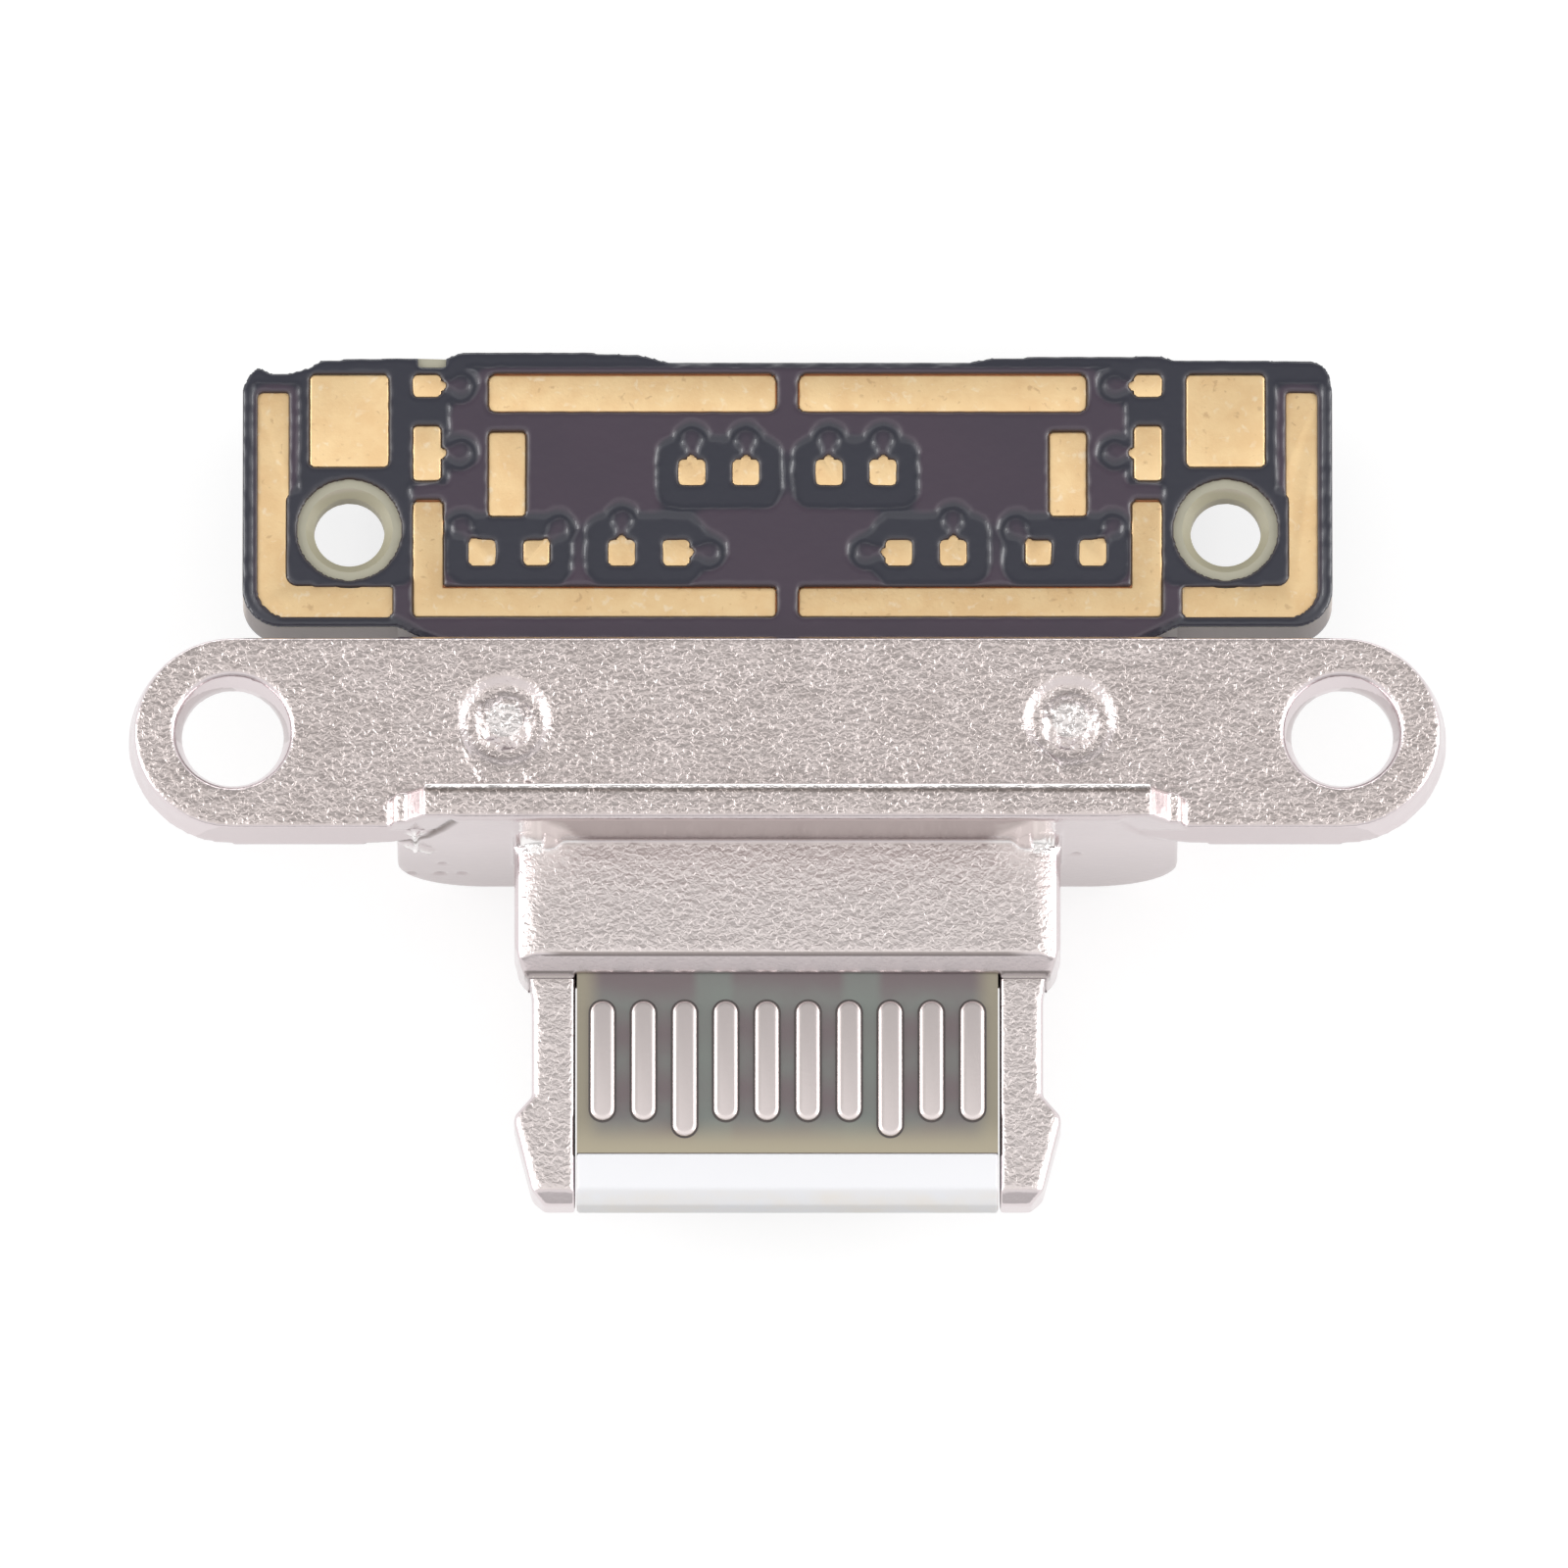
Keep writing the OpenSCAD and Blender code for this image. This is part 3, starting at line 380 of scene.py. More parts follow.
def wornEdges(point, look):
    # the lip's rear edge and the neck's sides rubbed round, and the neck's foot drawn forward
    y, z = point.y, point.z
    across = abs(point.x)
    onLip = across < look["lipHalf"] and z > look["plateTop"] + look["lipFoot"]
    if onLip and abs(y - look["lipRear"]) < look["lipRun"]:
        deep = min(1, (y - look["lipRear"]) / look["lipRun"] + 1)
        y += look["lipShift"] * deep
        z = min(z, look["lipTop"] - look["lipDrop"] * max(0, deep - look["lipFlat"]))
    near, far = look["neckBand"]
    if look["neckFront"] + near < y < look["neckFront"] + far and across < look["neckHalf"]:
        y -= look["neckFoot"] * min(1, max(0, (look["neckTop"] - z) / look["neckFootFall"]))
    onSide = look["neckEdge"] < across < look["neckHalf"] and z > look["neckTop"] - look["neckDepth"]
    if onSide and look["neckFront"] < y < look["frontFace"] - look["neckClear"]:
        z = min(z, look["neckTop"] - (across - look["neckEdge"]) ** 2)
    return y, z


def wallShadeAt(across, z, look):
    # the painted shade on the wall above the neck
    x, foot = look["slantFrom"]
    run, rise = look["slantRun"]
    above = (z - foot) / rise - (across - x) / run
    return look["wallShade"] * min(1, max(0, above * look["slantSharp"]))


def darkeningAt(point, look):
    # how much brown a vertex gets: painted shade on the wall above the neck, along the lip, on and
    # behind the neck's front, in the screw holes, in the crease and the pits, and down the front face;
    # darker where the rails start
    across = abs(point.x)
    face, front, rear = look["frontFace"], look["neckFront"], look["lipRear"]
    foot, head = look["wallSpan"]
    if abs(point.y - face) < look["wallSkin"] and foot < point.z < head and across < look["wallHalf"]:
        return wallShadeAt(across, point.z, look)
    inner, outer = look["railSpan"]
    low, high = look["railDepth"]
    if inner < across < outer and low < point.z < high and look["railFront"] < point.y < front:
        return look["railDarkening"] * (point.y - look["railFront"]) / look["railRun"]
    onLip = across < look["lipHalf"] and point.z > look["lipLineFoot"]
    if onLip and inBand(point.y, rear, look["lipLine"]):
        return look["lineShade"]
    if across < look["neckHalf"] and inBand(point.y, front, look["neckFace"]):
        return look["frontShade"]
    if across < look["neckEdge"] and inBand(point.y, front, look["neckLine"]):
        return look["lineShade"]
    x, y = look["screwHole"]
    inHole = math.hypot(across - x, point.y - y) < look["screwWall"]
    if inHole and point.y > y and point.z < look["screwMouth"]:
        return look["screwShade"]
    marks = [crease(point, look, look["creaseHalf"] * look["creaseSpread"])]
    if abs(point.y - face) >= look["faceSkin"]:
        return look["creaseShade"] * marks[0]
    for start, end, half, height in look["frontMarks"]:
        if height < 0:
            marks.append(nearness((point.x, point.z), start, end, half * look["pitShare"]))
    # painted shade in the crease and the pits, and on the front face, deeper towards its foot
    return max(look["creaseShade"] * max(marks), look["frontShade"] * (1 + max(0, -point.z)))


def brighteningAt(point, look):
    # how bright a vertex is made: a painted highlight on the lip's rear edge, on the webs in the neck's
    # corners and on the flash on the front face, and rubbed plating on the gate stubs
    across = abs(point.x)
    face = look["frontFace"]
    onLip = across < look["lipHalf"] and point.z > look["lipHighlightFoot"]
    if onLip and point.y > look["lipRear"] - look["lipHighlightRun"]:
        return look["lipHighlight"]
    if face - look["webRun"] < point.y < face:
        inner, outer = look["webEdge"]
        if inner < across < outer and point.z < look["webTop"]:
            return 1
        inner, outer = look["webSlope"]
        if inner < across <= outer and point.z > look["webFoot"]:
            return look["webHighlight"]
    if abs(point.y - face) < look["flashSkin"]:
        return max(nearness((point.x, point.z), start, end, half)
                   for start, end, half, height in look["frontMarks"] if height > 0)
    x, y = look["gateCentre"]
    onGate = math.hypot(across - x, point.y - y) < look["gateFlat"] * look["gateStub"]
    return look["gateRub"] if onGate and point.z > look["gateFoot"] else 0


def buildFrame(look, material):
    # an even skin over the CAD frame, softened, marked, and thinned out again
    work = meshInMillimetres(nodes["metal_frame"])
    mesh = bpy.data.meshes.new("skinSource")
    work.to_mesh(mesh)
    work.free()
    source = bpy.data.objects.new("skinSource", mesh)
    bpy.context.scene.collection.objects.link(source)
    remesh = source.modifiers.new("skin", "REMESH")
    remesh.mode = "VOXEL"
    remesh.voxel_size = look["voxel"]
    soften = source.modifiers.new("soften", "SMOOTH")
    soften.factor = 0.5
    soften.iterations = look["softening"]
    dense = evaluated(source)
    for vertex in dense.vertices:
        vertex.co.z = tornSkin(vertex.co, look)
        vertex.co.y = frontSkin(vertex.co, look)
        vertex.co.y, vertex.co.z = wornEdges(vertex.co, look)
    source.modifiers.clear()
    source.data = dense
    reduce = source.modifiers.new("reduce", "DECIMATE")
    reduce.ratio = min(1.0, look["triangles"] / (2 * len(dense.polygons)))
    work = bmesh.new()
    work.from_mesh(evaluated(source))
    bpy.data.objects.remove(source)
    darkened = work.verts.layers.float.new("stain")
    # painted highlights, and the rubbed gate stubs
    rubbed = work.verts.layers.float.new("brightening")
    for vertex in work.verts:
        vertex[darkened] = darkeningAt(vertex.co, look)
        vertex[rubbed] = brighteningAt(vertex.co, look)
    piece = pieceFromBmesh("frameMoulding", work, material, ["metal_frame"])
    print("frame skin:", len(piece.data.polygons), "faces")


buildFrame(frameLook, frameMetal(frameLook))


# Circuit board and tongue

boardLook = {
    "resin": "B4B09C",      # bare laminate behind the frame
    "resinFade": (0.0, 0.01),  # mm in Y, hidden under the frame
    "margin": "9A9280",     # thin edge of the tongue
    "marginFade": (0.34, 0.06),  # mm in from the tongue's side
    "tongueHalf": 2.56,     # mm
    "frontBand": "B3A992",  # bare band in front of the contacts
    "frontFade": (-4.66, -5.1),  # mm in Y
    "purple": "766A6C",     # over inner copper
    "green": "7F8680",      # between strips of inner copper
    "gapRise": (0.6, 0.75),  # mm across, where the green between two strips comes in
    "gapFall": (1.2, 1.05),  # mm across, where it goes out again
    "gapShare": 0.7,
    "cutEdge": "C6BAB0",
    "edgeInShade": "7E7572",   # painted shade on the cut edge beside the metal plate
    "edgeShadeFade": (1.9, 1.7),  # mm in Y
    "bore": "A9A184",       # the walls of the locating holes, in a darker olive
    "boreCentre": (5.3, 2.49),  # mm
    "boreFade": (0.75, 0.7),  # mm, radius
    "weave": 0.37,          # mm, width of one pale or dark band of the glass cloth
    "bandsPerUnit": 6.3,    # about as many such bands as a wave node draws in a unit
    "patchSize": 0.4,       # mm
    "grainSize": 0.08,      # mm
    "grainHeight": 0.01,    # mm
}


def boardLaminate(look):
    # Glass-and-epoxy laminate, pressed and routed: greenish yellow and a little see-through where
    # bare, greyer over inner copper, and chalky beige on its routed edges, with painted shade beside the
    # plate.
    material, tree, shader = newMaterial("glassEpoxyLaminate", Roughness=0.42, IOR=1.5)
    place = addNode(tree, "TexCoord").outputs["Object"]
    parts = addNode(tree, "SeparateXYZ", {0: place})
    along = parts.outputs["Y"]
    across = addNode(tree, "Math", {0: parts.outputs["X"]}, operation="ABSOLUTE").outputs[0]
    spot = addNode(tree, "CombineXYZ", {0: across, 1: along})
    away = addNode(tree, "VectorMath", {0: spot.outputs[0]}, operation="DISTANCE")
    away.inputs[1].default_value = Vector(look["boreCentre"]).to_3d() * mm
    side = look["tongueHalf"]
    # what each share of a colour runs along, where it starts and where it is full, and its most
    spans = {
        "gapRise": (across, *look["gapRise"], look["gapShare"]),
        "gapFall": (across, *look["gapFall"], 1),
        "margin": (across, *(side - inset for inset in look["marginFade"]), 1),
        "frontBand": (along, *look["frontFade"], 1),
        "resin": (along, *look["resinFade"], 1),
        "edgeInShade": (along, *look["edgeShadeFade"], 1),
        "bore": (away.outputs["Value"], *look["boreFade"], 1),
    }
    share = {}
    for name, (value, start, full, most) in spans.items():
        share[name] = addNode(tree, "MapRange", {"Value": value}, interpolation_type="SMOOTHSTEP",
                              From_Min=start * mm, From_Max=full * mm, To_Max=most).outputs[0]
    share["green"] = addNode(tree, "Math", {0: share["gapRise"], 1: share["gapFall"]},
                             operation="MULTIPLY").outputs[0]
    patch = addNode(tree, "TexNoise", {"Vector": place}, Scale=1 / (look["patchSize"] * mm), Detail=2.0)
    cloth = addNode(tree, "TexWave", {"Vector": place}, wave_type="BANDS",
                    bands_direction="Y", Scale=1 / (look["weave"] * look["bandsPerUnit"] * mm),
                    Distortion=3.0, Detail=2.0)
    weave = addNode(tree, "Math", {0: cloth.outputs["Fac"], 1: patch.outputs[0]}, operation="MULTIPLY")
    base = addNode(tree, "MixRGB", {"Fac": weave.outputs[0]},
                   Color1=toLinear(look["purple"]), Color2=toLinear(look["green"]))
    for name in ("green", "margin", "frontBand", "resin"):
        base = addNode(tree, "MixRGB", {"Fac": share[name], "Color1": base.outputs[0]},
                       Color2=toLinear(look[name]))
    edge = addNode(tree, "MixRGB", {"Fac": share["edgeInShade"]},
                   Color1=toLinear(look["cutEdge"]), Color2=toLinear(look["edgeInShade"]))
    edge = addNode(tree, "MixRGB", {"Fac": share["bore"], "Color1": edge.outputs[0]},
                   Color2=toLinear(look["bore"]))
    wall = addNode(tree, "MapRange", {"Value": levelness(tree)}, From_Min=0.85, From_Max=0.5)
    base = addNode(tree, "MixRGB", {"Fac": wall.outputs[0], "Color1": base.outputs[0],
                                    "Color2": edge.outputs[0]})
    grain = addNode(tree, "TexNoise", {"Vector": place}, Scale=1 / (look["grainSize"] * mm), Detail=3.0)
    bump = addNode(tree, "Bump", {"Height": grain.outputs[0]}, Strength=0.25,
                   Distance=look["grainHeight"] * mm)
    tree.links.new(base.outputs[0], shader.inputs["Base Color"])
    tree.links.new(bump.outputs[0], shader.inputs["Normal"])
    return material


assign(nodes["circuit_board"], boardLaminate(boardLook))
print("board done")


# Nose

noseLook = {
    "white": "FBFBFE",
    "stain": "FBF5EE",
    "stainFade": (-5.56, -5.66),  # mm in Y, towards the front edge
    "patchSize": 0.5,       # mm
    "edge": 0.035,          # mm, rounding
}


def noseResin(look):
    # Liquid-crystal polymer, injection moulded: dense white with a satin skin, stained where
    # plugs rub its front edge.
    material, tree, shader = newMaterial("whiteMouldedResin", Roughness=0.4, IOR=1.55)
    place = addNode(tree, "TexCoord").outputs["Object"]
    along = addNode(tree, "SeparateXYZ", {0: place}).outputs["Y"]
    front = addNode(tree, "MapRange", {"Value": along},
                    From_Min=look["stainFade"][0] * mm, From_Max=look["stainFade"][1] * mm)
    patch = addNode(tree, "TexNoise", {"Vector": place}, Scale=1 / (look["patchSize"] * mm), Detail=5.0)
    worn = addNode(tree, "MapRange", {"Value": patch.outputs[0]}, From_Min=0.35,
                   From_Max=0.7, To_Max=0.8)
    amount = addNode(tree, "Math", {0: front.outputs[0], 1: worn.outputs[0]}, operation="MULTIPLY")
    colour = addNode(tree, "MixRGB", {"Fac": amount.outputs[0]},
                     Color1=toLinear(look["white"]), Color2=toLinear(look["stain"]))
    tree.links.new(colour.outputs[0], shader.inputs["Base Color"])
    return material


def softened(name, nodeName, material, width, topOnly=False):
    # a copy of a node with its edges, or only its top edges, rounded
    work = meshInMillimetres(nodes[nodeName])
    bmesh.ops.dissolve_limit(work, angle_limit=math.radians(2), verts=work.verts, edges=work.edges)
    top = max(v.co.z for v in work.verts) - 1e-3
    sharp = [e for e in work.edges if len(e.link_faces) == 2 and e.calc_face_angle() > math.radians(25)
             and (not topOnly or min(v.co.z for v in e.verts) > top)]
    bmesh.ops.bevel(work, geom=sharp, offset=width, segments=3, profile=0.5, affect="EDGES",
                    clamp_overlap=True)
    pieceFromBmesh(name, work, material, [nodeName])


softened("noseMoulding", "tongue_nose", noseResin(noseLook), noseLook["edge"])
print("nose done")


# Contacts

contactLook = {
    "plating": "ECE1DF",
    "grainSize": 0.06,      # mm
    "grainHeight": 0.002,   # mm
    "round": 0.055,         # mm, rounding of the top edge
    "rings": 6,             # steps of that rounding
    "ends": 14,             # steps of a half circle at an end
    "gap": 0.02,            # mm, width of the painted shade line round a contact
    "gapHeight": 0.004,     # mm
    "gapTop": 0.7,          # share of the line's width that is level
    "gapTuck": 0.01,        # mm, how far the line runs in under the contact
    "gapColour": "453F3F",
    "gapPale": "5A5250",
    "gapPatch": 0.1,        # mm
}
contactCount = 10  # on each face of the tongue


def contactPlating(look):
    # Copper alloy plated with nickel and palladium: a rolled satin flat, and rounded edges that
    # catch the lamps as bright lines.
    material, tree, shader = newMaterial("palladiumPlatedContact", Metallic=1.0, Roughness=0.24)
    shader.inputs["Base Color"].default_value = toLinear(look["plating"])
    place = addNode(tree, "TexCoord").outputs["Object"]
    grain = addNode(tree, "TexNoise", {"Vector": place}, Scale=1 / (look["grainSize"] * mm), Detail=2.0)
    bump = addNode(tree, "Bump", {"Height": grain.outputs[0]}, Strength=0.15,
                   Distance=look["grainHeight"] * mm)
    tree.links.new(bump.outputs[0], shader.inputs["Normal"])
    return material


def contactShadeMaterial(look):
    # A painted shade line round each contact: a dark matt ring that sets each one off from the
    # laminate.
    material, tree, shader = newMaterial("paintedContactShade", Roughness=0.55, IOR=1.5)
    place = addNode(tree, "TexCoord").outputs["Object"]
    patch = addNode(tree, "TexNoise", {"Vector": place}, Scale=1 / (look["gapPatch"] * mm), Detail=2.0)
    colour = addNode(tree, "MixRGB", {"Fac": patch.outputs[0]},
                     Color1=toLinear(look["gapColour"]), Color2=toLinear(look["gapPale"]))
    tree.links.new(colour.outputs[0], shader.inputs["Base Color"])
    return material


def stadiumRing(work, low, high, inset, z, steps):
    # a ring of vertices along a contact's outline, two half circles joined, drawn in by inset
    half = (high.x - low.x) / 2
    middle = (high.x + low.x) / 2
    radius = half - inset
    ring = []
    for y, start in ((high.y - half, 0), (low.y + half, math.pi)):
        for j in range(steps + 1):
            turn = start + math.pi * j / steps
            place = (middle + radius * math.cos(turn), y + radius * math.sin(turn), z)
            ring.append(work.verts.new(place))
    return ring


def joinRings(work, rings):
    # a band of faces between each ring and the next
    count = len(rings[0])
    for lower, upper in zip(rings, rings[1:]):
        for j in range(count):
            work.faces.new((lower[j], lower[(j + 1) % count], upper[(j + 1) % count], upper[j]))


def buildContact(nodeName, name, look, material):
    # rings that draw in as they rise, closed by a flat top
    low, high = (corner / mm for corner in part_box(nodeName))
    below = "bottom" in nodeName
    work = bmesh.new()
    rings = []
    for i in range(look["rings"] + 1):
        turn = math.pi / 2 * i / look["rings"]
        rise = (high.z - low.z) * math.sin(turn)
        z = high.z - rise if below else low.z + rise
        rings.append(stadiumRing(work, low, high, look["round"] * (1 - math.cos(turn)), z, look["ends"]))
    joinRings(work, rings)
    work.faces.new(rings[-1])
    work.faces.new(list(reversed(rings[0])))
    bmesh.ops.recalc_face_normals(work, faces=work.faces)
    pieceFromBmesh(name, work, material, [nodeName])


def buildShadeRings(side, look, material):
    # painted shade: thin dark lines on the laminate, one round each contact
    work = bmesh.new()
    for i in range(1, contactCount + 1):
        low, high = (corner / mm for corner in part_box(f"contact_{side}_{i}"))
        base, rise = (high.z, -look["gapHeight"]) if side == "bottom" else (low.z, look["gapHeight"])
        rings = [stadiumRing(work, low, high, inset, z, look["ends"])
                 for inset, z in ((-look["gap"], base), (-look["gap"] * look["gapTop"], base + rise),
                                  (look["gapTuck"], base + rise), (look["gapTuck"], base))]
        joinRings(work, rings + rings[:1])
    bmesh.ops.recalc_face_normals(work, faces=work.faces)
    pieceFromBmesh(f"contactShadeRings_{side}", work, material)


contactMaterial = contactPlating(contactLook)
shadeRingMaterial = contactShadeMaterial(contactLook)
for side in ("top", "bottom"):
    for i in range(1, contactCount + 1):
        buildContact(f"contact_{side}_{i}", f"contact_{side}_plated_{i}", contactLook, contactMaterial)
    buildShadeRings(side, contactLook, shadeRingMaterial)
print("contacts done:", 2 * contactCount)


# Gold pads

padLook = {
    "gold": "F6D8A8",
    "goldDull": "F0CE9D",
    "rubbed": "FFF2DC",
    "dirt": "C9A47C",
    "toneSize": 0.3,        # mm
    "fleckSize": 0.12,      # mm, from fleck to fleck of dirt or rubbed gold
    "dentSize": 0.05,       # mm
    "dentDepth": 0.006,     # mm
    "edge": 0.028,          # mm, rounding of the top edges
    "shade": 0.84,          # share of its colour left to a pad beside the frame, in the lip's shade
    "shadeFade": (1.5, 3.3),  # mm in Y
}


def padGold(look):
    # Immersion gold over nickel on etched copper: warm and matt, with a finely dented face.
    material, tree, shader = newMaterial("immersionGoldPad", Metallic=1.0, Roughness=0.5)
    place = addNode(tree, "TexCoord").outputs["Object"]
    along = addNode(tree, "SeparateXYZ", {0: place}).outputs["Y"]
    tone = addNode(tree, "TexNoise", {"Vector": place}, Scale=1 / (look["toneSize"] * mm), Detail=5.0)
    toneRange = addNode(tree, "MapRange", {"Value": tone.outputs[0]}, From_Min=0.4, From_Max=0.65)
    gold = addNode(tree, "MixRGB", {"Fac": toneRange.outputs[0]},
                   Color1=toLinear(look["gold"]), Color2=toLinear(look["goldDull"]))
    # one pattern gives dirt in its hollows and rubbed flecks on its heights
    fleck = addNode(tree, "TexNoise", {"Vector": place}, Scale=1 / (look["fleckSize"] * mm),
                    Detail=4.0, Distortion=0.4)
    hollow = addNode(tree, "MapRange", {"Value": fleck.outputs[0]}, From_Min=0.36,
                     From_Max=0.28, To_Max=0.5)
    crest = addNode(tree, "MapRange", {"Value": fleck.outputs[0]}, From_Min=0.6,
                    From_Max=0.72, To_Max=0.45)
    dirty = addNode(tree, "MixRGB", {"Fac": hollow.outputs[0], "Color1": gold.outputs[0]},
                    Color2=toLinear(look["dirt"]))
    flecked = addNode(tree, "MixRGB", {"Fac": crest.outputs[0], "Color1": dirty.outputs[0]},
                      Color2=toLinear(look["rubbed"]))
    shade = addNode(tree, "MapRange", {"Value": along}, From_Min=look["shadeFade"][0] * mm,
                    From_Max=look["shadeFade"][1] * mm, To_Min=look["shade"])
    shaded = addNode(tree, "VectorMath", {0: flecked.outputs[0], "Scale": shade.outputs[0]},
                     operation="SCALE")
    dents = addNode(tree, "TexNoise", {"Vector": place}, Scale=1 / (look["dentSize"] * mm), Detail=3.0)
    bump = addNode(tree, "Bump", {"Height": dents.outputs[0]}, Strength=0.4,
                   Distance=look["dentDepth"] * mm)
    tree.links.new(shaded.outputs[0], shader.inputs["Base Color"])
    tree.links.new(bump.outputs[0], shader.inputs["Normal"])
    return material


goldMaterial = padGold(padLook)
padNodes = sorted(n for n in nodes if "_pad_" in n)
for name in padNodes:
    softened(name + "_plated", name, goldMaterial, padLook["edge"], topOnly=True)
print("pads done:", len(padNodes))


# Ground copper

copperLook = {
    "foil": "C98E6A",
    "foilShaded": "4A3A38",
    "foilShadeFade": (1.3, 1.5),  # mm in Y, from painted shade to clean foil
}


def groundCopper(look):
    # Copper foil, rolled and etched: warm metal, with painted shade towards the frame, where it is bare.
    material, tree, shader = newMaterial("etchedCopperFoil", Metallic=1.0, Roughness=0.4)
    place = addNode(tree, "TexCoord").outputs["Object"]
    along = addNode(tree, "SeparateXYZ", {0: place}).outputs["Y"]
    # clean foil away from the painted shade
    clean = addNode(tree, "MapRange", {"Value": along},
                    From_Min=look["foilShadeFade"][0] * mm, From_Max=look["foilShadeFade"][1] * mm)
    colour = addNode(tree, "MixRGB", {"Fac": clean.outputs[0]},
                     Color1=toLinear(look["foilShaded"]), Color2=toLinear(look["foil"]))
    tree.links.new(colour.outputs[0], shader.inputs["Base Color"])
    return material


copperMaterial = groundCopper(copperLook)
for name in ("ground_copper_top", "ground_copper_bottom"):
    assign(nodes[name], copperMaterial)
print("ground copper done")


# Solder mask

maskLook = {
    "ink": "2E2F3B",
    "inkOverCopper": "483B49",
    "inkEdge": "2C1409",
    "gloss": 0.18,          # roughness of the open ink
    "matt": 0.65,           # roughness of the thin ink beside a pad
    "blotchSize": 1.2,      # mm
    "peelSize": 0.12,       # mm, from dimple to dimple
    "peelHeight": 0.005,    # mm
    "cell": 0.027,          # mm, grid of the sheet
    "rim": 6,               # cells of that grid beyond the ink, on both sides together
    "floor": 0.02,          # mm, lower hits are the board in an opening
    "least": 0.012,         # mm, the sheet's least height
    "outline": 1.1,         # half cells, how softly the outline is drawn
    "slope": 0.018,         # mm, how softly the ink runs over the copper's edges
    "thinEdge": 0.03,       # mm, how far the ink thins towards an opening
    "high": 0.8,            # share of the full height from which ink lies on copper
    "spread": 0.1,          # mm, copper narrower than this doesn't tint the ink
    "tintBlur": 1.5,        # half cells
    "rust": 0.02,           # mm, how far the rusty ink reaches from a pad
    "rimTear": 0.014,       # mm, how uneven the ink lies on the copper's edges
    "tearRate": 7,          # lumps of that unevenness to the millimetre
}


def maskInk(look):
    # Black photo-imaged epoxy ink: glossy and slightly see-through, so it looks purple brown
    # over copper, blue black over bare laminate, and rusty where it thins beside a pad.
    material, tree, shader = newMaterial("blackSolderMask", IOR=1.62)
    place = addNode(tree, "TexCoord").outputs["Object"]
    tone = addNode(tree, "SeparateColor",
                   {0: addNode(tree, "Attribute", attribute_name="inkTone").outputs["Color"]})
    blotch = addNode(tree, "TexNoise", {"Vector": place}, Scale=1 / (look["blotchSize"] * mm),
                     Detail=3.0)
    thin = addNode(tree, "MapRange", {"Value": blotch.outputs[0]}, From_Min=0.3,
                   From_Max=0.7, To_Min=0.8)
    copper = addNode(tree, "Math", {0: tone.outputs[0], 1: thin.outputs[0]}, operation="MULTIPLY")
    colour = addNode(tree, "MixRGB", {"Fac": copper.outputs[0]},
                     Color1=toLinear(look["ink"]), Color2=toLinear(look["inkOverCopper"]))
    edged = addNode(tree, "MixRGB", {"Fac": tone.outputs[1], "Color1": colour.outputs[0]},
                    Color2=toLinear(look["inkEdge"]))
    peel = addNode(tree, "TexNoise", {"Vector": place}, Scale=1 / (look["peelSize"] * mm), Detail=3.0)
    bump = addNode(tree, "Bump", {"Height": peel.outputs[0]}, Strength=0.35,
                   Distance=look["peelHeight"] * mm)
    matt = addNode(tree, "MapRange", {"Value": tone.outputs[1]}, To_Min=look["gloss"],
                   To_Max=look["matt"])
    tree.links.new(edged.outputs[0], shader.inputs["Base Color"])
    tree.links.new(matt.outputs[0], shader.inputs["Roughness"])
    tree.links.new(bump.outputs[0], shader.inputs["Normal"])
    return material


def blurred(grid, sigma):
    # a small separable Gaussian blur
    reach = max(1, int(math.ceil(3 * sigma)))
    weights = np.exp(-0.5 * (np.arange(-reach, reach + 1) / sigma) ** 2)
    weights /= weights.sum()
    for axis in (0, 1):
        grid = np.apply_along_axis(lambda line: np.convolve(line, weights, mode="same"), axis, grid)
    return grid


def outsideOf(inside):
    # marks the empty cells that join up with the grid's corner
    outside = np.zeros_like(inside, dtype=bool)
    outside[0, 0] = True
    front = [(0, 0)]
    wide, deep = inside.shape
    while front:
        i, j = front.pop()
        for a, b in ((i + 1, j), (i - 1, j), (i, j + 1), (i, j - 1)):
            if 0 <= a < wide and 0 <= b < deep and not outside[a, b] and not inside[a, b]:
                outside[a, b] = True
                front.append((a, b))
    return outside


def inkHeights(look, low, high, x0, y0, shape):
    # looks down at the CAD mask on a grid of half cells: where there is ink, and how high it lies
    source = meshInMillimetres(nodes["solder_mask_top"])
    tree = BVHTree.FromBMesh(source)
    source.free()
    fine = look["cell"] / 2
    down = Vector((0, 0, -1))
    inside, height = np.zeros(shape), np.zeros(shape)
    for i, j in np.ndindex(*shape):
        spot = tree.ray_cast(Vector((x0 + i * fine, y0 + j * fine, high.z + 1)), down)[0]
        if spot is not None and spot.z > low.z + look["floor"]:
            inside[i, j] = 1
            height[i, j] = spot.z - low.z
    return inside, height


def softInk(look, inside, height):
    # the ink's height once it has run: sloped over the copper's edges, thin beside openings
    fine = look["cell"] / 2
    weight = blurred(inside, look["slope"] / fine)
    soft = blurred(height, look["slope"] / fine) / np.maximum(weight, 1e-6)
    # 0 on the outline of an opening, where the ink keeps half its height, and 1 a little way in
    thin = np.clip((blurred(inside, look["thinEdge"] / fine) - 0.5) * 2.2, 0, 1)
    soft = soft * (0.5 + 0.5 * thin ** 0.5)
    # uneven only where the ink runs steeply down an edge
    slopeX, slopeY = np.gradient(soft, fine)
    steep = np.clip(np.hypot(slopeX, slopeY) * 1.5, 0, 1)
    uneven = np.array([[noise.noise(Vector((i, j, 0)) * fine * look["tearRate"])
                        for j in range(height.shape[1])] for i in range(height.shape[0])])
    return soft + look["rimTear"] * uneven * steep


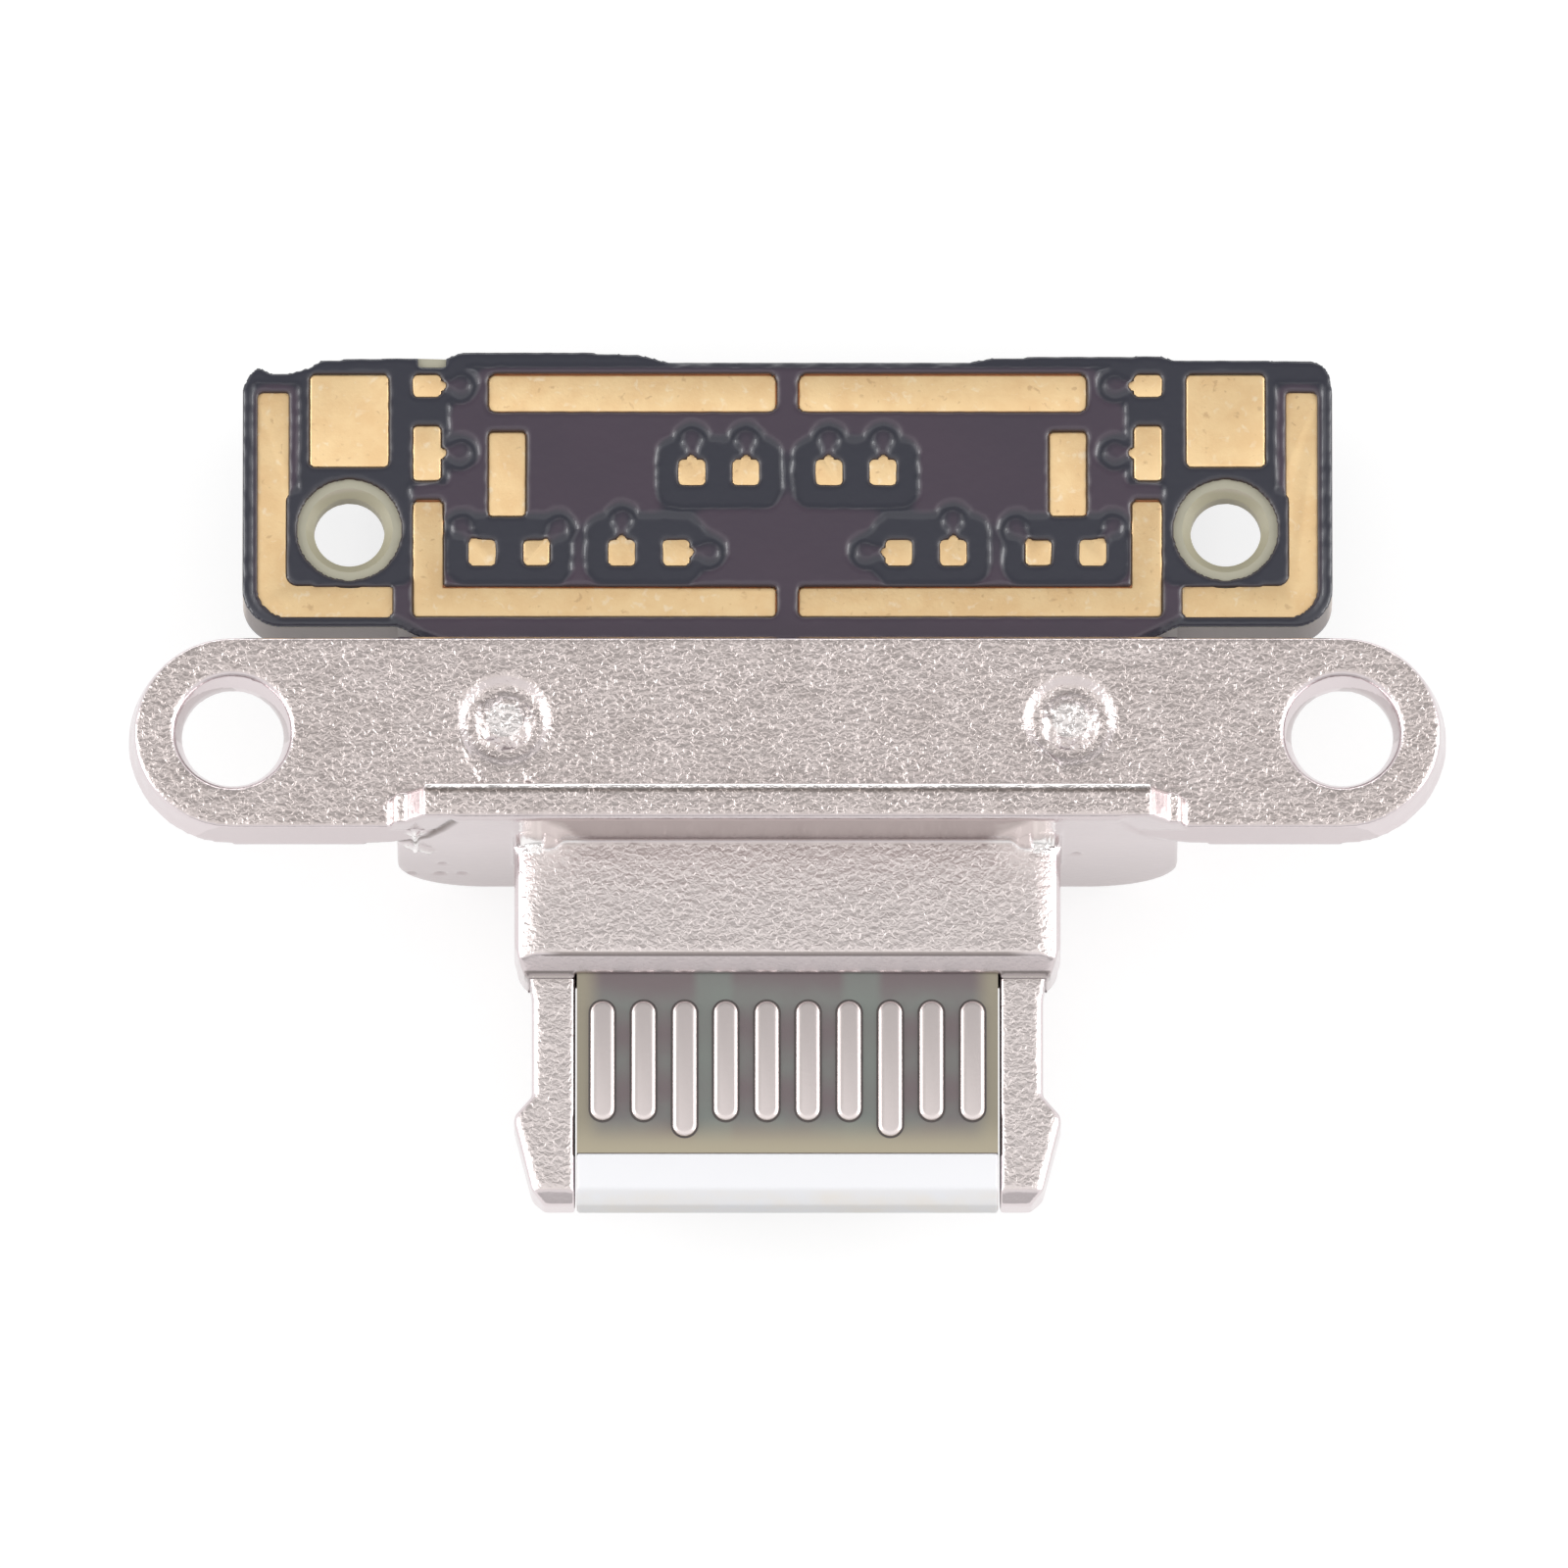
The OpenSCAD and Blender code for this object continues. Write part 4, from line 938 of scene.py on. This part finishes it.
def inkTones(look, inside, height, full):
    # two tones for the ink's colour: how much copper lies under it, and how near a pad is
    fine = look["cell"] / 2
    raised = (height > full * look["high"]).astype(float)
    openings = (1 - inside) * (1 - outsideOf(inside))
    # a pad in an opening is copper too, and a strip that is narrow stays faint once blurred
    wide = blurred(raised + openings, look["spread"] / fine)
    copper = np.clip((wide - 0.45) / 0.2, 0, 1) * np.clip(blurred(raised, look["tintBlur"]) * 1.2, 0, 1)
    edge = np.clip(blurred(openings, look["rust"] / fine) * 2.4, 0, 1)
    return copper, edge


def buildMask(look, material):
    # draws the ink again as one smooth sheet, whose rim follows the outline of the CAD mask
    low, high = (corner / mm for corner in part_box("solder_mask_top"))
    cell = look["cell"]
    countX = int((high.x - low.x) / cell) + look["rim"]
    countY = int((high.y - low.y) / cell) + look["rim"]
    x0 = (low.x + high.x - countX * cell) / 2
    y0 = (low.y + high.y - countY * cell) / 2
    inside, height = inkHeights(look, low, high, x0, y0, (2 * countX + 1, 2 * countY + 1))
    soft = softInk(look, inside, height)
    copper, edge = inkTones(look, inside, height, high.z - low.z)
    field = blurred(inside, look["outline"])
    gradX, gradY = np.gradient(field, cell / 2)
    filled = field[1::2, 1::2] > 0.5
    furthest = 0.75 * cell  # mm, how far a corner of the rim may slide
    work = bmesh.new()
    layer = work.verts.layers.float_color.new("inkTone")
    corners = {}

    def corner(i, j):
        if (i, j) not in corners:
            x, y = x0 + i * cell, y0 + j * cell
            # a corner on the sheet's rim slides on to the ink's outline
            if not filled[max(0, i - 1):i + 1, max(0, j - 1):j + 1].all():
                g = Vector((gradX[2 * i, 2 * j], gradY[2 * i, 2 * j]))
                if g.length > 1e-3:
                    step = g * ((0.5 - field[2 * i, 2 * j]) / g.length_squared)
                    if step.length > furthest:
                        step *= furthest / step.length
                    x, y = x + step.x, y + step.y
            corners[i, j] = work.verts.new((x, y, low.z + max(look["least"], soft[2 * i, 2 * j])))
            corners[i, j][layer] = (copper[2 * i, 2 * j], edge[2 * i, 2 * j], 0, 1)
        return corners[i, j]

    for i in range(countX):
        for j in range(countY):
            if filled[i, j]:
                work.faces.new((corner(i, j), corner(i + 1, j), corner(i + 1, j + 1), corner(i, j + 1)))
    # the rim is drawn down to the board
    rim = [e for e in work.edges if len(e.link_faces) == 1]
    skirt = bmesh.ops.extrude_edge_only(work, edges=rim)
    for vertex in [g for g in skirt["geom"] if isinstance(g, bmesh.types.BMVert)]:
        vertex.co.z = low.z
    bmesh.ops.recalc_face_normals(work, faces=work.faces)
    piece = pieceFromBmesh("solderMaskFront", work, material, ["solder_mask_top"])
    print("solder mask:", len(piece.data.polygons), "faces")


maskMaterial = maskInk(maskLook)
buildMask(maskLook, maskMaterial)
assign(nodes["solder_mask_bottom"], maskMaterial)  # it has no tones, so it is plain ink


# Floor and light

stageLook = {
    "floor": "AAAAAA",
    "floorGlow": 0.7,       # added where it is looked at
    "floorRadius": 600,     # mm
    "floorGap": 0.01,       # mm, clear of the object's underside
    "world": 0.62,          # strength of its light, though it shows as white
    "lampPower": 0.055,     # watts
    "lampPlace": (95, 0, 38),  # mm
    "lampSize": 70,         # mm
    # name, centre and size in mm, grey, and how much of it fades out
    "cards": [("greyCardBehind", (0, 99, 113), (260, 230), 0.425, 0.5),
              ("brightCardLeft", (-100, 10, 110), (90, 140), 2.0, 0.9),
              ("brightCardRight", (100, 10, 110), (90, 140), 2.0, 0.9),
              ("brightCardBehind", (0, 155, 12), (260, 40), 2.6, 0.5),
              ("greyCardInFront", (0, -150, 30), (260, 60), 0.6, 0.35)],
}


def seenDirectly(tree):
    # 1 for camera, glossy and transmission rays, 0 for diffuse light
    rays = addNode(tree, "LightPath")
    seen = addNode(tree, "Math", {0: rays.outputs["Is Camera Ray"], 1: rays.outputs["Is Glossy Ray"]},
                   operation="MAXIMUM")
    return addNode(tree, "Math", {0: seen.outputs[0], 1: rays.outputs["Is Transmission Ray"]},
                   operation="MAXIMUM").outputs[0]


def addCard(name, place, size, grey, fade):
    # a grey card seen only in reflections, facing the object; it fades to white at its rim
    bpy.ops.mesh.primitive_grid_add(x_subdivisions=1, y_subdivisions=1, size=1,
                                    location=Vector(place) * mm)
    card = bpy.context.object
    card.name = name
    card.scale = (size[0] * mm, size[1] * mm, 1)
    card.rotation_euler = Vector(place).to_track_quat("Z", "Y").to_euler()
    material, tree, shader = newMaterial(name + "Board")
    tree.nodes.remove(shader)
    local = addNode(tree, "TexCoord").outputs["Object"]
    spread = addNode(tree, "VectorMath", {0: local}, operation="ABSOLUTE").outputs[0]
    parts = addNode(tree, "SeparateXYZ", {0: spread})
    far = addNode(tree, "Math", {0: parts.outputs["X"], 1: parts.outputs["Y"]},
                  operation="MAXIMUM").outputs[0]
    level = addNode(tree, "MapRange", {"Value": far}, From_Min=0.5 * (1 - fade), From_Max=0.5,
                    To_Min=grey, To_Max=1.0)
    glow = addNode(tree, "Emission", {"Strength": level.outputs[0]})
    tree.links.new(glow.outputs[0], tree.nodes["Material Output"].inputs["Surface"])
    assign(card, material)
    card.visible_camera = False
    card.visible_diffuse = False
    card.visible_shadow = False
    card.visible_transmission = False


def buildFloor(look):
    # White paper that glows only where it is looked at, so it stays pale and keeps the shadow.
    bpy.ops.mesh.primitive_circle_add(vertices=96, radius=look["floorRadius"] * mm, fill_type="NGON",
                                      location=(0, 0, cadBox[0][2] - look["floorGap"] * mm))
    floor = bpy.context.object
    floor.name = "floor"
    material, tree, shader = newMaterial("whitePaperFloor", Roughness=0.9, IOR=1.3)
    shader.inputs["Base Color"].default_value = toLinear(look["floor"])
    shader.inputs["Emission Color"].default_value = (1, 1, 1, 1)
    glow = addNode(tree, "Math", {0: seenDirectly(tree)}, operation="MULTIPLY")
    glow.inputs[1].default_value = look["floorGlow"]
    tree.links.new(glow.outputs[0], shader.inputs["Emission Strength"])
    assign(floor, material)


def buildLight(look):
    # a white world that gives less light than it shows, a soft box on either side, and the cards
    world = bpy.data.worlds.new("studio")
    bpy.context.scene.world = world
    world.use_nodes = True
    tree = world.node_tree
    back = tree.nodes["Background"]
    back.inputs["Color"].default_value = (1, 1, 1, 1)
    level = addNode(tree, "MapRange", {"Value": seenDirectly(tree)}, To_Min=look["world"])
    tree.links.new(level.outputs[0], back.inputs["Strength"])
    x, y, z = look["lampPlace"]
    for side in (-1, 1):
        lamp = bpy.data.lights.new("softBox", "AREA")
        lamp.shape = "RECTANGLE"
        lamp.size = look["lampSize"] * mm
        lamp.size_y = look["lampSize"] * mm
        lamp.energy = look["lampPower"]
        box = bpy.data.objects.new("softBox", lamp)
        bpy.context.scene.collection.objects.link(box)
        box.location = Vector((side * x, y, z)) * mm
        box.rotation_euler = Vector((side * x, y, z)).to_track_quat("Z", "Y").to_euler()
    for card in look["cards"]:
        addCard(*card)


# Camera

cameraLook = {
    "tilt": 15.0,           # degrees forward of straight above
    "distance": 800,        # mm
    "scale": 83.9,          # photo pixels to the millimetre
    "photoWidth": 1600,     # pixels
    "sensor": 36,           # mm
    "centre": (-0.042, -0.6725, 0.5),  # mm, the point in the middle of the picture
}


def buildCamera(look):
    camera = bpy.data.cameras.new("camera")
    holder = bpy.data.objects.new("camera", camera)
    bpy.context.scene.collection.objects.link(holder)
    tilt = math.radians(look["tilt"])
    back = Vector((0, -math.sin(tilt), math.cos(tilt)))
    holder.location = (Vector(look["centre"]) + back * look["distance"]) * mm
    holder.rotation_euler = back.to_track_quat("Z", "Y").to_euler()
    camera.sensor_width = look["sensor"]
    camera.lens = camera.sensor_width * look["distance"] * look["scale"] / look["photoWidth"]
    camera.clip_start = 10 * mm
    bpy.context.scene.camera = holder


buildFloor(stageLook)
buildLight(stageLook)
buildCamera(cameraLook)
print("stage and camera done")

bpy.context.scene.view_settings.view_transform = "Standard"
